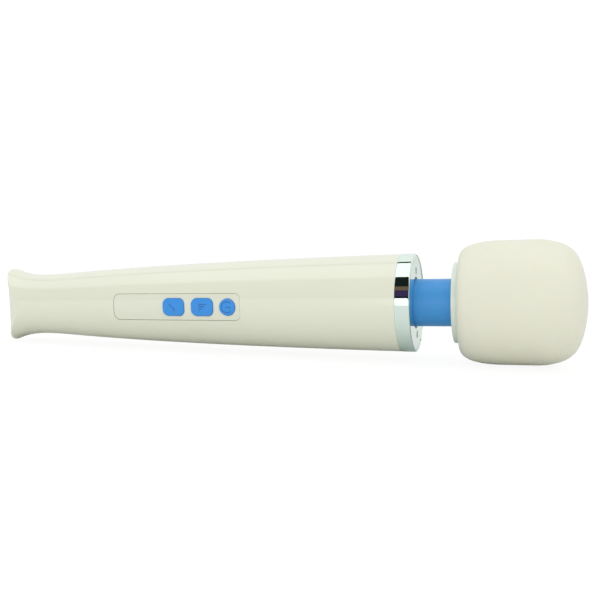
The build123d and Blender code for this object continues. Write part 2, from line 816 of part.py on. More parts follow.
def head_core_rear():
    """Rear half of the hard core, with the neck's seat and the rear bearing's seat."""
    core = head_solid(cover_wall + cover_clearance) & disc(0, core_split, far)
    core += disc(head_face + 0.02, head_face + cover_wall + 2, core_outer_mouth)
    hollow = disc(bearing_rear + bearing_width, core_split + 1, core_inner_radius)
    hollow = chamfer(hollow.edges().sort_by(Axis.X)[0], core_wall)
    for boss, _, _ in core_bosses(head_face, core_split + 2):
        hollow -= boss
    core -= hollow
    for _, y, z in core_bosses(head_face, core_split):
        core -= disc(core_split - 8, core_split + 1, small_screw_radius + 0.02, y, z)
    core -= disc(0, neck_end, neck_radius + neck_front_flange + fit)
    core -= disc(0, bearing_rear + 1, hub_radius + 1.5)
    core -= disc(bearing_rear, core_split, bearing_radius + 0.02)
    for y, z in ring_of(3, collar_screw_radius, 90):
        core -= disc(0, neck_end + 3.5, small_screw_radius + 0.02, y, z)
    return core


def head_core_front():
    """Front half of the hard core, with the front bearing's seat."""
    hollow = head_solid(cover_wall + core_wall) & disc(core_split - 1, head_tip, far)
    hollow -= disc(bearing_front, head_tip, bearing_radius + bearing_seat_wall)
    for boss, _, _ in core_bosses(core_split - 2, head_tip):
        hollow -= boss
    core = (head_solid(cover_wall + cover_clearance) & disc(core_split, head_tip, far)) - hollow
    seat = core_split + 8.0
    for _, y, z in core_bosses(core_split, head_tip):
        core -= disc(core_split - 1, head_tip, small_screw_radius + 0.1, y, z)
        core -= disc(seat, head_tip, small_screw_head + 0.2, y, z)
    return core - disc(bearing_front - 1, bearing_front + bearing_width + 0.5, bearing_radius + 0.02)


def core_screw_set():
    """The four screws that close the core, from the front."""
    screws = []
    seat = core_split + 8.0
    for _, y, z in core_bosses(core_split, core_split + 1):
        screws.append(disc(core_split - 7, seat + 0.2, small_screw_radius, y, z)
                      + disc(seat, seat + 1.6, small_screw_head, y, z))
    return group(screws)


def bearing(x0):
    """A ball bearing, as one ring."""
    return tube(x0, x0 + bearing_width, bearing_radius, ecc_shaft_radius + running_fit)


def head_bearings():
    """The two bearings of the eccentric's shaft."""
    return group([bearing(bearing_rear), bearing(bearing_front)])


def head_hub():
    """The hub that takes the drive spring's far end."""
    hub = disc(spring_end, head_hub_end, hub_radius)
    return hub - disc(spring_end + 2.0, head_hub_end + 1, ecc_shaft_radius + 0.02)


def eccentric_shaft():
    """The shaft that carries the weight."""
    return disc(spring_end + 2.0, bearing_front + bearing_width - 0.3, ecc_shaft_radius)


def eccentric_weight():
    """A half-round weight that shakes the head as it turns."""
    radius = core_boss_reach - weight_clearance
    weight = disc(weight_start, weight_end, radius) & block(0, 10 * far, -far, far, -far, 0)
    weight += disc(weight_start, weight_end, weight_hub_radius)
    weight -= disc(weight_start - 1, weight_end + 1, ecc_shaft_radius + 0.02)
    middle = (weight_start + weight_end) / 2
    return weight - Pos(middle, 0, 4.5) * Cylinder(1.5, 5.0)


def weight_set_screw():
    """The set screw that locks the weight to its shaft."""
    middle = (weight_start + weight_end) / 2
    top, bottom = weight_hub_radius - 0.3, ecc_shaft_radius + 0.05
    screw = Pos(middle, 0, (top + bottom) / 2) * Cylinder(1.48, top - bottom)
    return screw - Pos(middle, 0, top) * Cylinder(0.7, 2.0)


# ---------------------------------------------------------------- the assembly
parts = {
    "front_shell": front_shell(),
    "rear_shell": rear_shell(),
    "casing_screws": casing_screw_set(),
    "tail_cap": tail_cap(),
    "jack_bezel": jack_bezel(),
    "charge_jack": charge_jack(),
    "jack_pin": jack_pin(),
    "chrome_ring": chrome_ring(),
    "end_plate": end_plate(),
    "end_plate_screws": end_plate_screws(),
    "neck_clamp": neck_clamp(),
    "flex_neck": flex_neck(),
    "control_panel": control_panel(),
    "keypad_membrane": keypad_membrane(),
    "keypad_retainer": keypad_retainer(),
    "tact_switches": tact_switches(),
    "circuit_board": circuit_board(),
    "board_components": board_components(),
    "board_screws": board_screw_set(),
    "battery_cell_rear": cell(cell_start),
    "battery_cell_front": cell(cell_start + cell_length + cell_gap),
    "battery_tabs": battery_tabs(),
    "battery_cradle": battery_cradle(),
    "battery_bands": battery_bands(),
    "charge_lead": charge_lead(),
    "battery_lead": battery_lead(),
    "motor_lead": motor_lead(),
    "motor_can": motor_can(),
    "motor_end_bell": motor_end_bell(),
    "motor_terminals": motor_terminals(),
    "motor_magnets": motor_magnets(),
    "motor_bushes": motor_bushes(),
    "motor_mount": motor_mount(),
    "motor_screws": motor_screws(),
    "motor_isolator": motor_isolator(),
    "motor_shaft": motor_shaft(),
    "armature": armature(),
    "commutator": commutator(),
    "motor_hub": motor_hub(),
    "drive_spring": drive_spring(),
    "guide_bush": guide_bush(),
    "head_collar": head_collar(),
    "collar_screws": collar_screws(),
    "head_cover": head_cover(),
    "head_core_rear": head_core_rear(),
    "head_core_front": head_core_front(),
    "core_screws": core_screw_set(),
    "head_bearings": head_bearings(),
    "head_hub": head_hub(),
    "eccentric_shaft": eccentric_shaft(),
    "eccentric_weight": eccentric_weight(),
    "weight_set_screw": weight_set_screw(),
}
for name in buttons:
    parts[f"{name}_button"] = button(name)
    parts[f"{name}_plunger"] = plunger(name)


def resting_place():
    """The placement that sets the wand down on its tail and head, centred over the origin."""
    tail_low = handle_radius(0.0)
    head_low_x = head_face + shoulder_length + barrel_length / 2
    pitch = degrees(atan2(head_radius - tail_low, head_low_x))
    outer = [parts[n] for n in ("front_shell", "rear_shell", "chrome_ring", "head_cover", "power_button")]
    turn = Rot(0, -pitch, 0)
    box = Compound([turn * solid for piece in outer for solid in piece.solids()]).bounding_box(optimal=True)
    shift = Pos(-(box.min.X + box.max.X) / 2, -(box.min.Y + box.max.Y) / 2, -box.min.Z)
    print(f"pitch {pitch:.6f} degrees, shift {shift.position}")
    return shift * turn


def main():
    """Write one STEP file for each node, in the resting place."""
    os.makedirs("parts", exist_ok=True)
    place = resting_place()
    for node, piece in parts.items():
        solids = [place * solid for solid in piece.solids()]
        shape = solids[0] if len(solids) == 1 else Compound(solids)
        export_step(shape, f"parts/{node}.step")
    stations = {
        "swing pivot": ring_front + neck_length / 4,
        "neck middle": (ring_front + collar_back) / 2,
        "tilt pivot": collar_back - neck_length / 4,
        "port": port_recess + port_depth / 2,
        "motor": motor_front,
        "barrel": head_face + shoulder_length + barrel_length / 2,
        "ring": handle_length + 3,
        "power": power_x,
    }
    for label, x in stations.items():
        print(label, (place * Pos(x, 0, 0)).position)


main()
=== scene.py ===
"""Blender model of a handheld wand massager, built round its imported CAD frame.

The wand lies along its own X axis, which climbs a little from the tail to the head.  Every piece here is
drawn in the wand's own millimetres, tail at x = 0 and control panel towards -Y, and WandFrame puts its mesh
where the CAD nodes lie.
"""
from __future__ import annotations

import json
import logging
import math
from dataclasses import dataclass, field
from enum import Enum
from typing import Iterable, Sequence

import bmesh
import bpy
from mathutils import Matrix, Vector

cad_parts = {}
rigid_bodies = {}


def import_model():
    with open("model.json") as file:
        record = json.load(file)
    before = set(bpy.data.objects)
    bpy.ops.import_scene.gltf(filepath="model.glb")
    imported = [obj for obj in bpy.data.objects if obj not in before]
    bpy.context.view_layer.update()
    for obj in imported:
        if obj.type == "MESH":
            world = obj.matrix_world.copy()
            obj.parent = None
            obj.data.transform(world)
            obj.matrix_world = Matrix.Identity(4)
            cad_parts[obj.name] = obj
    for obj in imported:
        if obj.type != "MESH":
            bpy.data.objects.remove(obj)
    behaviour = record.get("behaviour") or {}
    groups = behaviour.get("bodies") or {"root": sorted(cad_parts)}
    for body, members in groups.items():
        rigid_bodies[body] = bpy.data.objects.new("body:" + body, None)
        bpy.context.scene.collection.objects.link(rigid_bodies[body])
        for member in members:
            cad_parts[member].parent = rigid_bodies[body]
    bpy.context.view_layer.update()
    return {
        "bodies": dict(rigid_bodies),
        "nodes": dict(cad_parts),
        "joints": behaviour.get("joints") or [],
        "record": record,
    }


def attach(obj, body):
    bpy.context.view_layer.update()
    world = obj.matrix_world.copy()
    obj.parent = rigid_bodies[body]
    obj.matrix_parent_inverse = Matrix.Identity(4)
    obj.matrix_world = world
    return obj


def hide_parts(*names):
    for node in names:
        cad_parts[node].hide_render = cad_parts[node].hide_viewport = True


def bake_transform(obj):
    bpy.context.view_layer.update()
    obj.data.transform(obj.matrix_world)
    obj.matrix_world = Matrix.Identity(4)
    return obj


LOG = logging.getLogger("wand")
MM = 0.001
Point2 = tuple[float, float]
Point3 = tuple[float, float, float]
Colour = tuple[float, float, float]


class Body(str, Enum):
    """The moving bodies of the frame."""

    HANDLE = "handle"
    NECK_MIDDLE = "neck_middle"
    HEAD = "head"
    PATTERN = "pattern"
    INTENSITY = "intensity"
    POWER = "power"


class Side(Enum):
    """The two halves of the casing, with the sign of their Y."""

    FRONT = -1
    REAR = 1


class Grain(Enum):
    """The kinds of fine surface texture that a finish can have."""

    PEEL = "peel"
    MATTE = "matte"
    BRUSHED = "brushed"


# ------------------------------------------------------------------ place and size
@dataclass
class WandFrame:
    """The wand's own axes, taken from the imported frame, and the spans of its CAD nodes."""

    frame: dict
    port_x: float = 1.7
    matrix: Matrix = field(init=False)

    def __post_init__(self) -> None:
        """Work out the matrix from wand millimetres to row metres from the charge port's mount."""
        port = next(m for m in self.frame["record"]["mounts"] if m["name"] == "charge_port")
        along = -Vector(port["axis"]).normalized()
        across = Vector((0, 1, 0))
        up = along.cross(across)
        origin = Vector(port["pos_m"]) - along * self.port_x * MM
        turn = Matrix((along, across, up)).transposed().to_4x4()
        self.matrix = Matrix.Translation(origin) @ turn @ Matrix.Scale(MM, 4)

    def point(self, x: float, y: float = 0.0, z: float = 0.0) -> Vector:
        """Return a wand point, in row metres."""
        return self.matrix @ Vector((x, y, z))

    def span(self, *nodes: str) -> tuple[Vector, Vector]:
        """Measure CAD nodes along the wand's own axes.

        Args:
            nodes: names of CAD nodes.

        Returns:
            The lowest and highest corner, in wand millimetres.
        """
        back = self.matrix.inverted()
        points = [back @ v.co for n in nodes for v in self.frame["nodes"][n].data.vertices]
        low = Vector([min(p[k] for p in points) for k in range(3)])
        high = Vector([max(p[k] for p in points) for k in range(3)])
        return low, high


@dataclass
class HandleForm:
    """The handle's outer form: a flared tail, then an easing swell up to the chrome ring."""

    length: float
    waist_x: float = 29.0
    waist_radius: float = 17.4
    grip_radius: float = 24.9
    grip_fullness: float = 1.6
    tail_flare: float = 3.9
    flare_power: float = 3.0
    end_radius: float = 17.7
    blend_length: float = 9.0

    def radius(self, x: float) -> float:
        """Return the outer radius at x, with the waist's two slopes eased into each other."""
        share = (x - self.waist_x) / (self.length - self.waist_x)
        if x < self.waist_x - self.blend_length:
            share = -self.blend_length / (self.length - self.waist_x)
        eased = share
        width = self.blend_length / (self.length - self.waist_x)
        if abs(share) < width:
            eased = (share + width) ** 2 / (4 * width)
        elif share < 0:
            eased = 0.0
        rise = (1 - math.exp(-self.grip_fullness * eased)) / (1 - math.exp(-self.grip_fullness))
        flare = self.tail_flare * max((self.waist_x - x) / self.waist_x, 0.0) ** self.flare_power
        return self.waist_radius + (self.grip_radius - self.waist_radius) * rise + flare

    def slope(self, x: float) -> float:
        """Return how fast the radius grows with x."""
        step = 0.05
        return (self.radius(x + step) - self.radius(x - step)) / (2 * step)

    def end_x(self, angle: float, inset: float = 0.0, recess: float = 0.0) -> float:
        """Find where a line along the handle meets the half-round tail face.

        Args:
            angle: the line's angle from the panel's side, in radians.
            inset: how far the line lies inside the handle's surface.
            recess: how far the face lies inside the outer tail face.

        Returns:
            The line's x at the face.
        """
        radius = self.end_radius - recess
        low, high = -1.0, self.end_radius + 1.0
        for _ in range(40):
            middle = (low + high) / 2
            across = (self.radius(middle) - inset) * math.cos(angle)
            outside = (middle - self.end_radius) ** 2 + across ** 2 > radius ** 2
            if outside and middle < self.end_radius:
                low = middle
            else:
                high = middle
        return (low + high) / 2

    def surface_y(self, x: float, z: float, outset: float = 0.0) -> float:
        """Return y on the panel's side of the handle, at an outset from its surface."""
        return -math.sqrt(max((self.radius(x) + outset) ** 2 - z * z, 0.0))

    def normal(self, x: float, y: float, z: float) -> Vector:
        """Return the outward normal of the handle at a point on it."""
        return Vector((-self.slope(x) * math.hypot(y, z), y, z)).normalized()


# ------------------------------------------------------------------ mesh tools
class MeshShop:
    """Makes plain meshes from rows of points and finishes them."""

    def __init__(self, wand: WandFrame) -> None:
        """Remember the wand's place."""
        self.wand = wand

    def from_faces(self, name: str, points: Sequence[Point3],
                   faces: Iterable[Sequence[int]]) -> bpy.types.Object:
        """Make an object from points in wand millimetres.

        Args:
            name: the object's name.
            points: its corners.
            faces: corner numbers of each face.

        Returns:
            The object, with its place in its mesh and its faces outwards.
        """
        mesh = bpy.data.meshes.new(name)
        mesh.from_pydata([self.wand.matrix @ Vector(p) for p in points], [], [list(f) for f in faces])
        work = bmesh.new()
        work.from_mesh(mesh)
        bmesh.ops.remove_doubles(work, verts=work.verts, dist=1e-7)
        bmesh.ops.recalc_face_normals(work, faces=work.faces)
        work.to_mesh(mesh)
        work.free()
        piece = bpy.data.objects.new(name, mesh)
        bpy.context.scene.collection.objects.link(piece)
        return piece

    def lathe(self, name: str, profile: Sequence[Point2], steps: int = 192, y: float = 0.0,
              z: float = 0.0) -> bpy.types.Object:
        """Turn a closed outline about a line along X.

        Args:
            name: the object's name.
            profile: (x, radius) corners in order; the outline closes on itself.
            steps: how many flats the circle has.
            y: the line's place across the wand.
            z: the line's height.

        Returns:
            The turned object.
        """
        points: list[Point3] = []
        for k in range(steps):
            angle = 2 * math.pi * k / steps
            points += [(x, y + r * math.cos(angle), z + r * math.sin(angle)) for x, r in profile]
        count = len(profile)
        faces = []
        for k in range(steps):
            here, after = k * count, (k + 1) % steps * count
            for i in range(count):
                j = (i + 1) % count
                if profile[i][1] > 0 or profile[j][1] > 0:
                    faces.append((here + i, after + i, after + j, here + j))
        piece = self.from_faces(name, points, faces)
        self.drop_slivers(piece)
        return piece

    @staticmethod
    def drop_slivers(piece: bpy.types.Object) -> None:
        """Clear faces without area that a pole leaves behind."""
        work = bmesh.new()
        work.from_mesh(piece.data)
        bmesh.ops.dissolve_degenerate(work, dist=1e-8, edges=work.edges)
        bmesh.ops.recalc_face_normals(work, faces=work.faces)
        work.to_mesh(piece.data)
        work.free()

    @staticmethod
    def bake(piece: bpy.types.Object) -> bpy.types.Object:
        """Turn a piece's modifiers into its plain mesh."""
        graph = bpy.context.evaluated_depsgraph_get()
        graph.update()
        mesh = bpy.data.meshes.new_from_object(piece.evaluated_get(graph))
        mesh.name = piece.name
        piece.modifiers.clear()
        piece.data = mesh
        return piece

    def cut(self, piece: bpy.types.Object, cutters: Sequence[bpy.types.Object]) -> bpy.types.Object:
        """Cut other closed pieces out of a piece, and remove them."""
        for cutter in cutters:
            modifier = piece.modifiers.new("cut", "BOOLEAN")
            modifier.operation = "DIFFERENCE"
            modifier.solver = "EXACT"
            modifier.object = cutter
        self.bake(piece)
        for cutter in cutters:
            mesh = cutter.data
            bpy.data.objects.remove(cutter)
            bpy.data.meshes.remove(mesh)
        return piece

    @staticmethod
    def join(pieces: Sequence[bpy.types.Object], name: str) -> bpy.types.Object:
        """Join pieces into the first one and name it."""
        work = bmesh.new()
        for piece in pieces:
            work.from_mesh(piece.data)
        work.to_mesh(pieces[0].data)
        work.free()
        for piece in pieces[1:]:
            bpy.data.objects.remove(piece)
        pieces[0].name = name
        return pieces[0]

    @staticmethod
    def smooth(piece: bpy.types.Object, angle: float = 35.0) -> None:
        """Shade a piece smooth, with edges past an angle kept sharp."""
        piece.data.polygons.foreach_set("use_smooth", [True] * len(piece.data.polygons))
        piece.data.set_sharp_from_angle(angle=math.radians(angle))

    def true_normals(self, piece: bpy.types.Object, form: HandleForm, outsets: Sequence[float]) -> None:
        """Give the faces that lie on the handle's form the form's own normals.

        Args:
            piece: the piece to shade.
            form: the handle's form.
            outsets: how far from the form the faces may lie.
        """
        back = self.wand.matrix.inverted()
        turn = self.wand.matrix.to_3x3().normalized()
        mesh = piece.data
        local = [back @ v.co for v in mesh.vertices]
        normals = [Vector((0, 0, 0))] * len(mesh.loops)
        for face in mesh.polygons:
            middle = sum((local[i] for i in face.vertices), Vector()) / len(face.vertices)
            off = [math.hypot(local[i].y, local[i].z) - form.radius(local[i].x) for i in face.vertices]
            out = form.normal(*middle)
            near = any(max(off) - o < 0.02 and o - min(off) < 0.02 for o in outsets)
            if near and (turn @ out).dot(face.normal) > 0.97:
                for loop in face.loop_indices:
                    normals[loop] = turn @ form.normal(*local[mesh.loops[loop].vertex_index])
        mesh.normals_split_custom_set(normals)


def rounded(corners: Sequence[tuple[float, float, float]], steps: int = 6) -> list[Point2]:
    """Round the corners of a closed outline.

    Args:
        corners: (x, radius, rounding) of each corner in order.
        steps: how many flats each rounding gets.

    Returns:
        The outline's points.
    """
    points: list[Point2] = []
    count = len(corners)
    for k, (x, r, rounding) in enumerate(corners):
        here = Vector((x, r))
        if rounding <= 0:
            points.append((x, r))
            continue
        before = (Vector(corners[k - 1][:2]) - here).normalized()
        after = (Vector(corners[(k + 1) % count][:2]) - here).normalized()
        half = before.angle(after) / 2
        reach = rounding / math.tan(half)
        middle = here + (before + after).normalized() * (rounding / math.sin(half))
        start, end = here + before * reach - middle, here + after * reach - middle
        turn = start.angle_signed(end)
        for step in range(steps + 1):
            spoke = start.copy()
            spoke.rotate(Matrix.Rotation(-turn * step / steps, 2))
            points.append(tuple(middle + spoke))
    return points


def dense(points: Sequence[Point2], gap: float) -> list[Point2]:
    """Split an outline's long runs, so that no gap is wider than the given one."""
    result: list[Point2] = []
    for (x0, r0), (x1, r1) in zip(points, list(points[1:]) + [points[0]]):
        parts = max(1, math.ceil(math.hypot(x1 - x0, r1 - r0) / gap))
        result += [(x0 + (x1 - x0) * k / parts, r0 + (r1 - r0) * k / parts) for k in range(parts)]
    return result


def bezier(a: Point2, b: Point2, c: Point2, d: Point2, steps: int) -> list[Point2]:
    """Return points along a cubic Bezier curve.

    Args:
        a: the start.
        b: the first handle.
        c: the second handle.
        d: the end.
        steps: how many stretches the curve has.

    Returns:
        The curve's points, with both ends.
    """
    points = []
    for k in range(steps + 1):
        t = k / steps
        weights = ((1 - t) ** 3, 3 * t * (1 - t) ** 2, 3 * t * t * (1 - t), t ** 3)
        points.append(tuple(sum(w * p[axis] for w, p in zip(weights, (a, b, c, d))) for axis in range(2)))
    return points


def curve_through(points: Sequence[Point2], start: Point2, end: Point2, steps: int) -> list[Point2]:
    """Draw a smooth curve through points, with its end directions given.

    Args:
        points: the places to pass, in order.
        start: the direction at the first point.
        end: the direction at the last one.
        steps: flats between each two points.

    Returns:
        The curve's points.
    """
    places = [Vector(p) for p in points]
    spans = [(b - a).length for a, b in zip(places, places[1:])]
    slopes = [Vector(start).normalized()]
    for k in range(1, len(places) - 1):
        before = (places[k] - places[k - 1]) / spans[k - 1]
        after = (places[k + 1] - places[k]) / spans[k]
        slopes.append(((before * spans[k] + after * spans[k - 1]) / (spans[k] + spans[k - 1])).normalized())
    slopes.append(Vector(end).normalized())
    result: list[Point2] = []
    for k, span in enumerate(spans):
        last = steps + 1 if k == len(spans) - 1 else steps
        for step in range(last):
            t = step / steps
            a = places[k] * (2 * t ** 3 - 3 * t ** 2 + 1) + slopes[k] * (span * (t ** 3 - 2 * t ** 2 + t))
            b = places[k + 1] * (3 * t ** 2 - 2 * t ** 3) + slopes[k + 1] * (span * (t ** 3 - t ** 2))
            result.append(tuple(a + b))
    return result


def inset_line(points: Sequence[Point2], depth: float) -> list[Point2]:
    """Move an open outline to its right, square to itself, and keep it above the axis."""
    result: list[Point2] = []
    for k, (x, r) in enumerate(points):
        x0, r0 = points[max(k - 1, 0)]
        x1, r1 = points[min(k + 1, len(points) - 1)]
        along = Vector((x1 - x0, r1 - r0)).normalized()
        result.append((x + depth * along.y, max(r - depth * along.x, 0.0)))
    return result


@dataclass(frozen=True)
class Pad:
    """An oblong with round corners, seen from the panel's side."""

    x: float
    length: float
    width: float
    corner: float

    def grown(self, gap: float) -> Pad:
        """Return the same oblong with a gap all round it."""
        return Pad(self.x, self.length + 2 * gap, self.width + 2 * gap, self.corner + gap)

    def loop(self, inset: float, along: int, across: int, arc: int) -> list[Point2]:
        """Return the outline's (x, z) points, moved inwards by an inset."""
        half_x, half_z = self.length / 2 - inset, self.width / 2 - inset
        corner = max(self.corner - inset, 0.02 * min(half_x, half_z))
        points: list[Point2] = []
        for quarter in range(4):
            turn = math.pi / 2 * quarter
            sign_x = 1 if quarter in (0, 3) else -1
            sign_z = 1 if quarter in (0, 1) else -1
            middle = Vector((self.x + sign_x * (half_x - corner), sign_z * (half_z - corner)))
            for k in range(arc + 1):
                angle = turn + math.pi / 2 * k / arc
                points.append((middle.x + corner * math.cos(angle), middle.y + corner * math.sin(angle)))
            end = Vector(points[-1])
            next_x = -sign_x if quarter in (0, 2) else sign_x
            next_z = sign_z if quarter in (0, 2) else -sign_z
            next_middle = Vector((self.x + next_x * (half_x - corner), next_z * (half_z - corner)))
            start_angle = turn + math.pi / 2
            start = next_middle + corner * Vector((math.cos(start_angle), math.sin(start_angle)))
            runs = along if quarter in (0, 2) else across
            points += [tuple(end + (start - end) * k / runs) for k in range(1, runs)]
        return points


class PadShop:
    """Makes closed pieces whose faces follow the handle's form."""

    def __init__(self, shop: MeshShop, form: HandleForm) -> None:
        """Remember the mesh tools and the handle's form."""
        self.shop = shop
        self.form = form

    def solid(self, name: str, pad: Pad, rings: Sequence[Point2], along: int = 40, across: int = 8,
              arc: int = 8) -> bpy.types.Object:
        """Make a closed piece from rings that go from its back's middle round to its face's middle.

        Args:
            name: the piece's name.
            pad: its outline.
            rings: (inset, outset from the handle's surface) of each ring.
            along: runs on each long side.
            across: runs on each short side.
            arc: runs round each corner.

        Returns:
            The closed piece.
        """
        points: list[Point3] = []
        loops = []
        for inset, outset in rings:
            loop = pad.loop(inset, along, across, arc)
            loops.append(range(len(points), len(points) + len(loop)))
            points += [(x, self.form.surface_y(x, z, outset), z) for x, z in loop]
        faces: list[Sequence[int]] = [list(loops[0])[::-1], list(loops[-1])]
        count = len(loops[0])
        for low, high in zip(loops, loops[1:]):
            faces += [(low[i], low[(i + 1) % count], high[(i + 1) % count], high[i]) for i in range(count)]
        return self.shop.from_faces(name, points, faces)

    def cutter(self, pad: Pad, depth: float, height: float = 2.0) -> bpy.types.Object:
        """Make the tool that sinks a pad's outline into the handle to a depth."""
        middle = min(pad.length, pad.width) / 2
        insets = [middle * share for share in (0.98, 0.8, 0.6, 0.4, 0.2)]
        rings = [(i, -depth) for i in insets] + [(0, -depth), (0, height)]
        rings += [(i, height) for i in insets[::-1]]
        return self.solid("cutter", pad, rings)

    @staticmethod
    def face_rings(pad: Pad, back: float, edge: float, top: float, crown: float) -> list[Point2]:
        """Rings for a plate with a rounded front edge and a slightly crowned face.

        Args:
            pad: the plate's outline.
            back: its back's outset.
            edge: the rounding of its front edge.
            top: its face's outset at the edge.
            crown: how much higher the face's middle stands.

        Returns:
            The rings, from the back's middle to the face's middle.
        """
        middle = min(pad.length, pad.width) / 2
        rings = [(middle * share, back) for share in (0.98, 0.75, 0.5, 0.25, 0.0)]
        steps = 6
        for k in range(steps + 1):
            angle = math.pi / 2 * k / steps
            rings.append((edge * (1 - math.cos(angle)), top - edge * (1 - math.sin(angle))))
        for share in (0.2, 0.4, 0.6, 0.8, 0.98):
            inset = edge + (middle - edge) * share
            rings.append((inset, top + crown * math.sin(math.pi / 2 * share)))
        return rings


# ------------------------------------------------------------------ Geometry Nodes
class NodeTree:
    """A Geometry Nodes tree under construction."""

    def __init__(self, name: str) -> None:
        """Start an empty tree that gives out geometry."""
        self.tree = bpy.data.node_groups.new(name, "GeometryNodeTree")
        self.inputs = None
        self.outputs = None

    def socket(self, name: str, kind: str, direction: str = "INPUT", value: object = None) -> None:
        """Add a named input or output."""
        item = self.tree.interface.new_socket(name=name, in_out=direction, socket_type=kind)
        if value is not None:
            item.default_value = value

    def node(self, kind: str, **values: object) -> bpy.types.Node:
        """Add a node and set its properties."""
        node = self.tree.nodes.new(kind)
        for key, value in values.items():
            setattr(node, key, value)
        return node

    def link(self, source: bpy.types.NodeSocket, target: bpy.types.NodeSocket) -> None:
        """Join two sockets."""
        self.tree.links.new(source, target)

    def ends(self) -> tuple[bpy.types.Node, bpy.types.Node]:
        """Add the tree's two end nodes and return them."""
        return self.node("NodeGroupInput"), self.node("NodeGroupOutput")

    def finish(self, geometry: bpy.types.NodeSocket, start: bpy.types.Node, end: bpy.types.Node) -> None:
        """Realise the result, give it its material and send it out."""
        real = self.node("GeometryNodeRealizeInstances")
        paint = self.node("GeometryNodeSetMaterial")
        self.link(geometry, real.inputs["Geometry"])
        self.link(real.outputs["Geometry"], paint.inputs["Geometry"])
        self.link(start.outputs["Material"], paint.inputs["Material"])
        self.link(paint.outputs["Geometry"], end.inputs["Geometry"])


